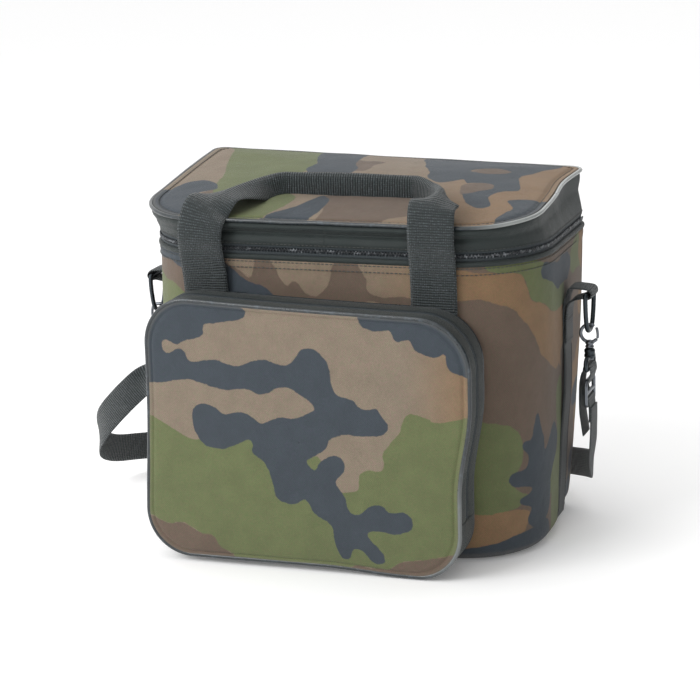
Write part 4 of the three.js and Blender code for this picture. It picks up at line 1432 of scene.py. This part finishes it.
def make_front_handle():
    """Up from the pocket, over the lid's front edge, and back along the lid with the grip folded double."""
    face = FRONT - 1.9 * MM
    pivot_y = JOINT["front_handle_swing"]["pos_m"][1]
    _, grip_hi = cad("front_handle")
    ridge = grip_hi[2] - 1.0 * MM
    grip_y = grip_hi[1] - 10 * MM
    leg = [(0.0, face, 0.045, 0), (0.0, face, 0.120, 0), (0.0, face, 0.200, 0)]
    rise_left = leg + [
        (0.0, face - 0.0030, 0.230, 0), (-0.0015, face - 0.0060, 0.250, 0),
        (-0.0015, pivot_y - 0.0052, 0.264, 0), (-0.0005, pivot_y - 0.0036, 0.276, 0),
        (0.0020, pivot_y + 0.0020, 0.2860, 0.02), (0.0065, pivot_y + 0.0110, 0.2930, 0.06),
        (0.0140, pivot_y + 0.0240, 0.2985, 0.18), (0.0240, pivot_y + 0.0380, 0.3020, 0.42),
        (0.0350, pivot_y + 0.0510, 0.3050, 0.80), (0.0480, grip_y - 0.0020, ridge, 1.0),
        (0.0640, grip_y, ridge, 1.0),
    ]
    rise_right = leg + [
        (0.0, face - 0.0012, 0.236, 0), (0.0, face - 0.0040, 0.252, 0), (0.0, pivot_y - 0.0034, 0.266, 0),
        (0.0, pivot_y - 0.0030, 0.282, 0), (-0.0004, pivot_y - 0.0004, 0.2945, 0.02),
        (-0.0014, pivot_y + 0.0070, 0.3015, 0.20), (-0.0014, pivot_y + 0.0180, 0.3050, 0.62),
        (0.0016, pivot_y + 0.0310, 0.3055, 0.95), (0.0110, pivot_y + 0.0460, 0.3050, 1.0),
        (0.0260, pivot_y + 0.0580, ridge, 1.0), (0.0420, grip_y, ridge, 1.0),
    ]
    top = [((LEFT_LEG + RIGHT_LEG) / 2, grip_y, ridge + 0.0008, 1.0)]
    path, fold = handle_route(rise_left, rise_right, top, 560)
    over = smooth((path[:, 1] - (pivot_y - 0.001)) / 0.022) * smooth((path[:, 2] - 0.28) / 0.012)
    back = over[:, None]
    outward = unit(np.array([0, -1.0, 0])[None] * (1 - back) + np.array([0, 0, 1.0])[None] * back)
    handle = web_band("front_handle_webbing", path, outward, WEB_WIDTH, WEB_THICK, fold)
    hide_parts("front_handle", "front_leg_left", "front_leg_right")
    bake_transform(handle)


def make_rear_handle():
    """Up the back, over at the top, and hanging down outside."""
    low, high = cad("rear_handle")
    pivot_y = JOINT["rear_handle_swing"]["pos_m"][1]
    face = BACK + 1.8 * MM
    top = high[2] + 0.6 * MM
    drop = low[2] + 10 * MM
    fall = [
        (0.0, face, 0.045, 0), (0.0, face, 0.150, 0), (0.0, face, top - 0.010, 0),
        (0.0, face + 0.0004, top - 0.0022, 0), (0.0, (face + pivot_y) / 2 + 0.0006, top + 0.0008, 0),
        (0.0, pivot_y + 0.0020, top - 0.0022, 0), (0.0, pivot_y + 0.0018, top - 0.0120, 0),
        (0.0, pivot_y + 0.0018, drop + 0.045, 0.0), (0.003, pivot_y + 0.0035, drop + 0.020, 0.15),
        (0.013, pivot_y + 0.0070, drop + 0.004, 0.45), (0.030, pivot_y + 0.0080, drop - 0.004, 0.85),
        (0.050, pivot_y + 0.0080, drop - 0.006, 1.0),
    ]
    path, fold = handle_route(fall, fall, [], 620)
    outward = np.cross(np.array([-1.0, 0, 0])[None], tangents(path))
    between = smooth((path[:, 0] - LEFT_LEG) / 0.035) * smooth((RIGHT_LEG - path[:, 0]) / 0.035)
    inside = between[:, None]
    down = np.array([0, 0, -1.0])[None]
    second_half = (np.arange(len(path)) > len(path) / 2)[:, None]
    outward = unit(np.where(second_half, -outward, outward) * (1 - inside) + down * inside)
    rear = web_band("rear_handle_webbing", path, outward, WEB_WIDTH, WEB_THICK, fold)
    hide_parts("rear_handle", "rear_leg_left", "rear_leg_right")
    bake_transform(rear)


def straight_row(start, end, count, normal):
    return np.linspace(start, end, count), np.tile(normal, (count, 1))


def make_leg_stitches():
    """Stitched edges on the sewn legs, front and back."""
    reach = WEB_WIDTH / 2 - 3 * MM
    foot = 0.05
    legs = (("front", FRONT - 3.1 * MM, -1, 0.243), ("rear", BACK + 3.0 * MM, 1, 0.228))
    for name, y, facing, high in legs:
        rows = []
        normal = (0.0, facing, 0.0)
        for x in (LEFT_LEG, RIGHT_LEG):
            for edge in (x - reach, x + reach):
                rows.append(straight_row((edge, y, foot), (edge, y, high), 40, normal))
            for z in (high, high - 5 * MM):
                rows.append(straight_row((x - reach, y, z), (x + reach, y, z), 12, normal))
        stitches = stitch_object(f"{name}_leg_stitches", rows, radius=0.32 * MM)
        declare(stitches, "root", "black_webbing")


# ---- side hardware ----
def make_side(side, sign):
    """One side's webbing tab, ring, hook, gate and swivel eye. sign is -1 on the left."""
    ring_lo, ring_hi = cad(f"{side}_ring")
    x = (ring_lo[0] + ring_hi[0]) / 2
    y = (ring_lo[1] + ring_hi[1]) / 2
    wire = 2.0 * MM
    half = (ring_hi[1] - ring_lo[1]) / 2 - wire
    make_side_webbing(side, sign, x, y, ring_hi[2] - wire)
    make_ring(side, x, y, ring_hi[2] - wire, ring_lo[2] + wire, half, 0.95 * wire)
    jaw_z = ring_lo[2] + wire - 2.9 * MM
    make_hook(side, sign, x, y, jaw_z)
    make_gate(side, sign, x, y, jaw_z)
    make_eye(side, x, y)


def make_side_webbing(side, sign, x, y, bar_z):
    """Webbing up the side, out to the ring, round its bar and back under itself."""
    skin = sign * (HALF_W + 0.9 * MM)
    nearest = np.argmin(np.hypot(BODY_PATH[:, 0] - sign * HALF_W, BODY_PATH[:, 1] - y))
    low_z = np.array([0.014, 0.045, 0.085])
    on_wall = skin + sign * (wall_offset(low_z)[:, nearest] + 0.3 * MM)
    tab = [
        *zip(on_wall, low_z),
        (skin + sign * 0.0016, 0.130), (skin + sign * 0.0010, 0.175), (skin + sign * 0.0010, bar_z - 0.010),
        (skin + sign * 0.0035, bar_z - 0.0010), (x - sign * 0.0140, bar_z + 0.0045),
        (x - sign * 0.0040, bar_z + 0.0046), (x + sign * 0.0022, bar_z + 0.0034),
        (x + sign * 0.0042, bar_z - 0.0004), (x + sign * 0.0016, bar_z - 0.0036),
        (x - sign * 0.0050, bar_z - 0.0034), (skin + sign * 0.0060, bar_z - 0.0075),
        (skin + sign * 0.0032, bar_z - 0.0180), (skin + sign * 0.0030, bar_z - 0.0420),
    ]
    path = spline(np.array([(px, y, pz) for px, pz in tab]), 260)
    webbing = turned_web(f"{side}_side_band", path, (0, sign * 1.0, 0), 26 * MM, 1.7 * MM)
    declare(webbing, "root", "black_webbing", f"{side}_side_webbing")
    rows = []
    normal = (sign, 0.0, 0.0)
    reach = 10.4 * MM
    rising = path[:130]
    for edge in (y - reach, y + reach):
        z = np.linspace(0.018, bar_z - 0.046, 40)
        out = np.interp(z, rising[:, 2], rising[:, 0]) + sign * 0.95 * MM
        rows.append((np.column_stack([out, np.full(40, edge), z]), np.tile(normal, (40, 1))))
    out = skin + sign * 4.2 * MM
    for z in (bar_z - 0.022, bar_z - 0.040):
        rows.append(straight_row((out, y - reach, z), (out, y + reach, z), 10, normal))
    stitches = stitch_object(f"{side}_band_stitches", rows, radius=0.3 * MM)
    declare(stitches, "root", "black_webbing")


def make_ring(side, x, y, bar_z, low_z, half, radius):
    """D-ring: a straight bar above, narrowing to a round foot."""
    bend = [(half - 0.002, bar_z), (half, bar_z - 0.002), (half - 0.0008, bar_z - 0.012),
            (half - 0.0040, low_z + 0.008), (half - 0.0085, low_z + 0.0018)]
    other = [(-a, z) for a, z in reversed(bend)]
    loop = [other[-1], (0, bar_z), *bend, (0, low_z), *other[:-1]]
    path = spline(np.array([(x, y + a, z) for a, z in loop]), 120, closed=True)
    ring = tube_object(f"{side}_ring_wire", path, radius, "gunmetal", up=(1, 0, 0))
    declare(ring, f"{side}_ring", "nickel_hardware", f"{side}_ring")


def lathe_data(profile, x, y):
    """A turned piece about a vertical axis. The profile is (radius, height) from low to high."""
    sides = 24
    angle = np.linspace(0, 2 * math.pi, sides, endpoint=False)
    ring = np.stack([np.cos(angle), np.sin(angle)], -1)
    rows = [np.column_stack([ring * r, np.full(sides, z)]) for r, z in profile]
    points = np.concatenate(rows) + np.array([x, y, 0.0])
    faces = grid_faces(len(profile), sides, False, True) + end_faces(len(profile), sides)
    return points, faces, np.zeros((len(points), 2))


def make_hook(side, sign, x, y, jaw_z):
    """Snap hook: an open jaw round the ring, and the barrel and pin that turn in the eye."""
    pin_low = cad(f"{side}_hook")[0][2]
    collar_top = cad(f"{side}_eye")[1][2]
    jaw_r = 7.4 * MM
    angles = np.radians(np.linspace(63, 320, 60))
    arc = np.column_stack([x + sign * jaw_r * np.cos(angles), np.full(60, y), jaw_z + jaw_r * np.sin(angles)])
    barrel = [(0.8, -0.6), (2.6, -0.3), (3.6, 0.4), (3.7, 1.2), (3.0, 1.8), (3.0, 2.6), (3.7, 3.2),
              (3.6, 4.2), (2.6, 5.4), (1.2, 5.8)]
    pin = [(1.2, 0.0), (3.1, 0.3), (3.4, 1.2), (3.0, 2.0), (1.9, 2.3), (1.9, 8.6), (1.0, 9.2)]
    stretch = (jaw_z - 6.2 * MM - collar_top) / (5.6 * MM)
    parts = [
        tube_data(arc, 1.45 * MM, up=(0, 1, 0)),
        lathe_data([(r * MM, collar_top + 0.5 * MM + h * MM * stretch) for r, h in barrel], x, y),
        lathe_data([(r * MM, pin_low + h * MM) for r, h in pin], x, y),
    ]
    hook = merged_object(f"{side}_hook_body", parts, "nickel")
    declare(hook, f"{side}_hook", "nickel_hardware", f"{side}_hook")


def make_gate(side, sign, x, y, jaw_z):
    """The sprung wire that closes the jaw."""
    share = np.linspace(0, 1, 16)
    angle = np.radians(-27 + 67 * share)
    r = 7.5 * MM * (1 - 0.10 * np.sin(math.pi * share))
    path = np.column_stack([x + sign * r * np.cos(angle), np.full(16, y), jaw_z + r * np.sin(angle)])
    gate = merged_object(f"{side}_gate_lever", [tube_data(path, 1.15 * MM, sides=10, up=(0, 1, 0))], "nickel")
    declare(gate, f"{side}_gate", "nickel_hardware", f"{side}_gate")


def make_eye(side, x, y):
    """Swivel eye: a rounded wire frame for the strap under a turned collar."""
    low, high = cad(f"{side}_eye")
    wire = 1.9 * MM
    half = (high[1] - low[1]) / 2 - wire
    low_z = low[2] + wire
    top_z = low_z + 9.0 * MM
    r = 3 * MM
    loop = [(0, low_z), (half - r, low_z), (half, low_z + r), (half, top_z - r), (half - r, top_z),
            (0, top_z), (-half + r, top_z), (-half, top_z - r), (-half, low_z + r), (-half + r, low_z)]
    path = spline(np.array([(x, y + a, z) for a, z in loop]), 110, closed=True)
    collar = [(3.0, 0.0), (4.4, 0.5), (4.6, 2.0), (3.9, 3.0), (4.5, 4.2), (4.5, 5.6), (3.6, 6.4), (2.5, 6.6)]
    foot = top_z - 1.0 * MM
    stretch = (high[2] - foot) / (6.6 * MM)
    turned = lathe_data([(a * MM, foot + h * MM * stretch) for a, h in collar], x, y)
    loop_wire = tube_data(path, wire, closed=True, up=(1, 0, 0))
    eye = merged_object(f"{side}_eye_frame", [loop_wire, turned], "gunmetal")
    declare(eye, f"{side}_ring", "nickel_hardware", f"{side}_eye")


# ---- shoulder strap ----
STRAP_ROUTE = [
    (-194.5, 12, 140.3), (-194.5, 12, 130), (-199, 12, 120), (-211, 12, 110), (-235, 13, 88), (-256, 19, 65),
    (-266, 32, 44), (-264, 54, 31), (-250, 84, 25), (-226, 112, 22), (-192, 134, 20), (-146, 148, 18.5),
    (-90, 156, 17.5), (-30, 160, 17), (30, 158, 17.5), (84, 150, 20), (129, 132, 25), (161, 104, 32),
    (176, 75, 40), (183, 47, 51), (188, 25, 66), (191, 14, 81), (191.9, 12, 96), (191.9, 12, 110),
]
STRAP_WIDTH = 25 * MM
EYE_WIRE = 1.9 * MM


def make_strap():
    """Webbing strap that hangs with its width across each eye, and stands on its edge along the floor."""
    path = spline(np.array(STRAP_ROUTE) * MM, 520)
    t = tangents(path)
    s = lengths(path)
    total = s[-1]
    turned = smooth((s - 0.006) / 0.045) * smooth((total - 0.012 - s) / 0.110)
    standing = turned[:, None]
    across = unit(np.array([0, 1.0, 0])[None] * (1 - standing) + np.array([0, 0, 1.0])[None] * standing)
    across = unit(across - (across * t).sum(1, keepdims=True) * t)
    strap = web_band("shoulder_strap_band", path, np.cross(across, t), STRAP_WIDTH, 1.8 * MM)
    slide, low, middle, high, x, y = make_slide()
    web = make_strap_return(x, y, low, middle, high)
    end = make_strap_end(y)
    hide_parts("shoulder_strap")
    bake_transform(strap)


def make_slide():
    """Three-bar slide. Returns it with its low, middle and high z, its x and its y."""
    low, high = cad("strap_adjuster")
    x, y = (low[0] + high[0]) / 2, (low[1] + high[1]) / 2
    middle = (low[2] + high[2]) / 2
    bar = 1.7 * MM
    corner = 2.5 * MM
    half = (high[1] - low[1]) / 2 - bar
    low_z, high_z = low[2] + bar, high[2] - bar
    inner, low_in, high_in = half - corner, low_z + corner, high_z - corner
    loop = [(-inner, low_z), (inner, low_z), (half, low_in), (half, high_in),
            (inner, high_z), (-inner, high_z), (-half, high_in), (-half, low_in)]
    dense = []
    for (a, low_a), (b, low_b) in zip(loop, loop[1:] + loop[:1]):
        for k in np.linspace(0, 1, 8, endpoint=False):
            dense.append((x, y + a + (b - a) * k, low_a + (low_b - low_a) * k))
    cross = np.linspace((x, y - half, middle), (x, y + half, middle), 20)
    parts = [
        tube_data(np.array(dense), bar, closed=True, sides=10, up=(1, 0, 0)),
        tube_data(cross, 1.6 * MM, sides=10, up=(1, 0, 0)),
    ]
    slide = merged_object("strap_slide", parts, "nickel")
    declare(slide, "strap_adjuster", "black_plastic", "strap_adjuster")
    return slide, low[2], middle, high[2], x, y


def make_strap_return(x, y, low, middle, high):
    """The webbing doubled through the slide and round the right eye."""
    eye_z = cad("right_eye")[0][2] + EYE_WIRE
    out, deep = 2.0 * MM, 3.4 * MM
    route = [
        (x + out, 0.098), (x + out * 1.1, low - 0.004), (x + out * 0.6, low + 0.006),
        (x - deep * 0.2, middle - 0.004), (x - deep, middle + 0.001), (x - deep * 0.6, middle + 0.006),
        (x + out * 0.2, high - 0.004), (x + out * 1.5, high + 0.004), (x + out * 1.6, eye_z - 0.002),
        (x + out * 1.2, eye_z + 0.0022), (x, eye_z + 0.0034), (x - out * 1.2, eye_z + 0.0022),
        (x - out * 1.6, eye_z - 0.002), (x - out * 2.2, high + 0.004), (x - out * 3.0, middle + 0.006),
        (x - out * 3.0, low - 0.002), (x - out * 2.4, 0.098), (x - out * 1.5, 0.086),
    ]
    path = spline(np.array([(a, y, z) for a, z in route]), 220)
    web = turned_web("strap_return_band", path, (0, -1.0, 0), STRAP_WIDTH, 1.5 * MM)
    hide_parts("strap_return")
    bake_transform(web)
    return web


def make_strap_end(y):
    """The strap's left end wraps the left eye and is sewn back on itself."""
    low, high = cad("left_eye")
    x = (low[0] + high[0]) / 2
    eye_z = low[2] + EYE_WIRE
    wrap = [(1.6, 0.118), (2.4, 0.130), (3.0, eye_z - 0.003), (2.4, eye_z + 0.0024), (0, eye_z + 0.0036),
            (-2.4, eye_z + 0.0024), (-3.0, eye_z - 0.003), (-2.4, 0.130), (-3.0, 0.120)]
    path = spline(np.array([(x + a * MM, y, z) for a, z in wrap]), 120)
    end = turned_web("strap_left_end", path, (0, -1.0, 0), STRAP_WIDTH, 1.6 * MM)
    declare(end, "left_ring", "black_webbing")
    return end


# ---- zip sliders, drawn facing -Y and turned to face the left side ----
QUARTER_TURN = np.array([[0, 1, 0], [-1, 0, 0], [0, 0, 1]], float)
PULL_Y = -4.6 * MM


def make_slider(name):
    """Slider body with a bridge for the pull."""
    low, high = cad(f"{name}_slider")
    place = np.array((high[0] + 0.3 * MM, (low[1] + high[1]) / 2, (low[2] + high[2]) / 2))
    rings, sides = 13, 20
    angle = np.linspace(0, 2 * math.pi, sides, endpoint=False)
    boxy = [np.copysign(np.abs(wave) ** 0.6, wave) for wave in (np.cos(angle), np.sin(angle))]
    sections = []
    for k in np.linspace(-1, 1, rings):
        width = 4.3 * MM * (1 - 0.22 * abs(k) ** 1.5) * boxy[0]
        depth = 1.5 * MM * (1 - 0.3 * k**4) * boxy[1]
        sections.append(np.column_stack([np.full(sides, 5.5 * MM * k), -1.7 * MM + depth, width]))
    body = np.vstack(sections) @ QUARTER_TURN.T + place
    faces = grid_faces(rings, sides, False, True) + end_faces(rings, sides)
    bridge = np.array([(0, -2.6, -2.2), (0, -4.4, -1.8), (0, -6.0, 0.2), (0, -6.0, 2.2), (0, -4.6, 3.6),
                       (0, -2.8, 3.8)]) * MM
    arch = tube_data(spline(bridge, 24) @ QUARTER_TURN.T + place, 0.9 * MM, sides=8, up=(1, 0.01, 0.02))
    slider = merged_object(f"{name}_slider_body", [(body, faces, np.zeros((len(body), 2))), arch], "gunmetal")
    declare(slider, f"{name}_slider", "zip_coil", f"{name}_slider")
    make_pull(name, place)


def make_pull(name, place):
    """Pull tab: a wire loop filled by a ribbed grip."""
    half = np.array([(0, -19.6), (3.0, -18.6), (3.3, -9.0), (2.9, -1.0), (2.8, 3.6), (0, 4.2)]) * MM
    x, z = np.vstack([half[4:0:-1], half[:1], half[1:5] * (-1, 1), half[5:]]).T
    wire = spline(np.column_stack([x, np.full(len(x), PULL_Y), z]), 60, closed=True)
    parts = [tube_data(wire @ QUARTER_TURN.T + place, 0.75 * MM, closed=True, sides=8, up=(0.02, 1, 0.01))]
    z = np.linspace(-18.5, -3.0, 32) * MM
    ribs = 0.25 * MM * np.sin(z / (1.6 * MM) * 2 * math.pi)
    for side in (-1, 1):
        grid = np.empty((32, 2, 3))
        grid[..., 0] = np.array([-2.6, 2.6])[None] * MM
        grid[..., 1] = (PULL_Y + side * (0.45 * MM + ribs))[:, None]
        grid[..., 2] = z[:, None]
        flat = grid.reshape(-1, 3)
        parts.append((flat @ QUARTER_TURN.T + place, grid_faces(32, 2, flip=side > 0), flat[:, [0, 2]]))
    pull = merged_object(f"{name}_pull_tab", parts, "gunmetal")
    declare(pull, f"{name}_pull", "zip_coil", f"{name}_pull")


make_camera()
make_studio()
make_strap()
make_body()
make_lid()
make_pocket()
make_front_handle()
make_rear_handle()
make_leg_stitches()
make_side("left", -1)
make_side("right", 1)
make_slider("main")
make_slider("pocket")
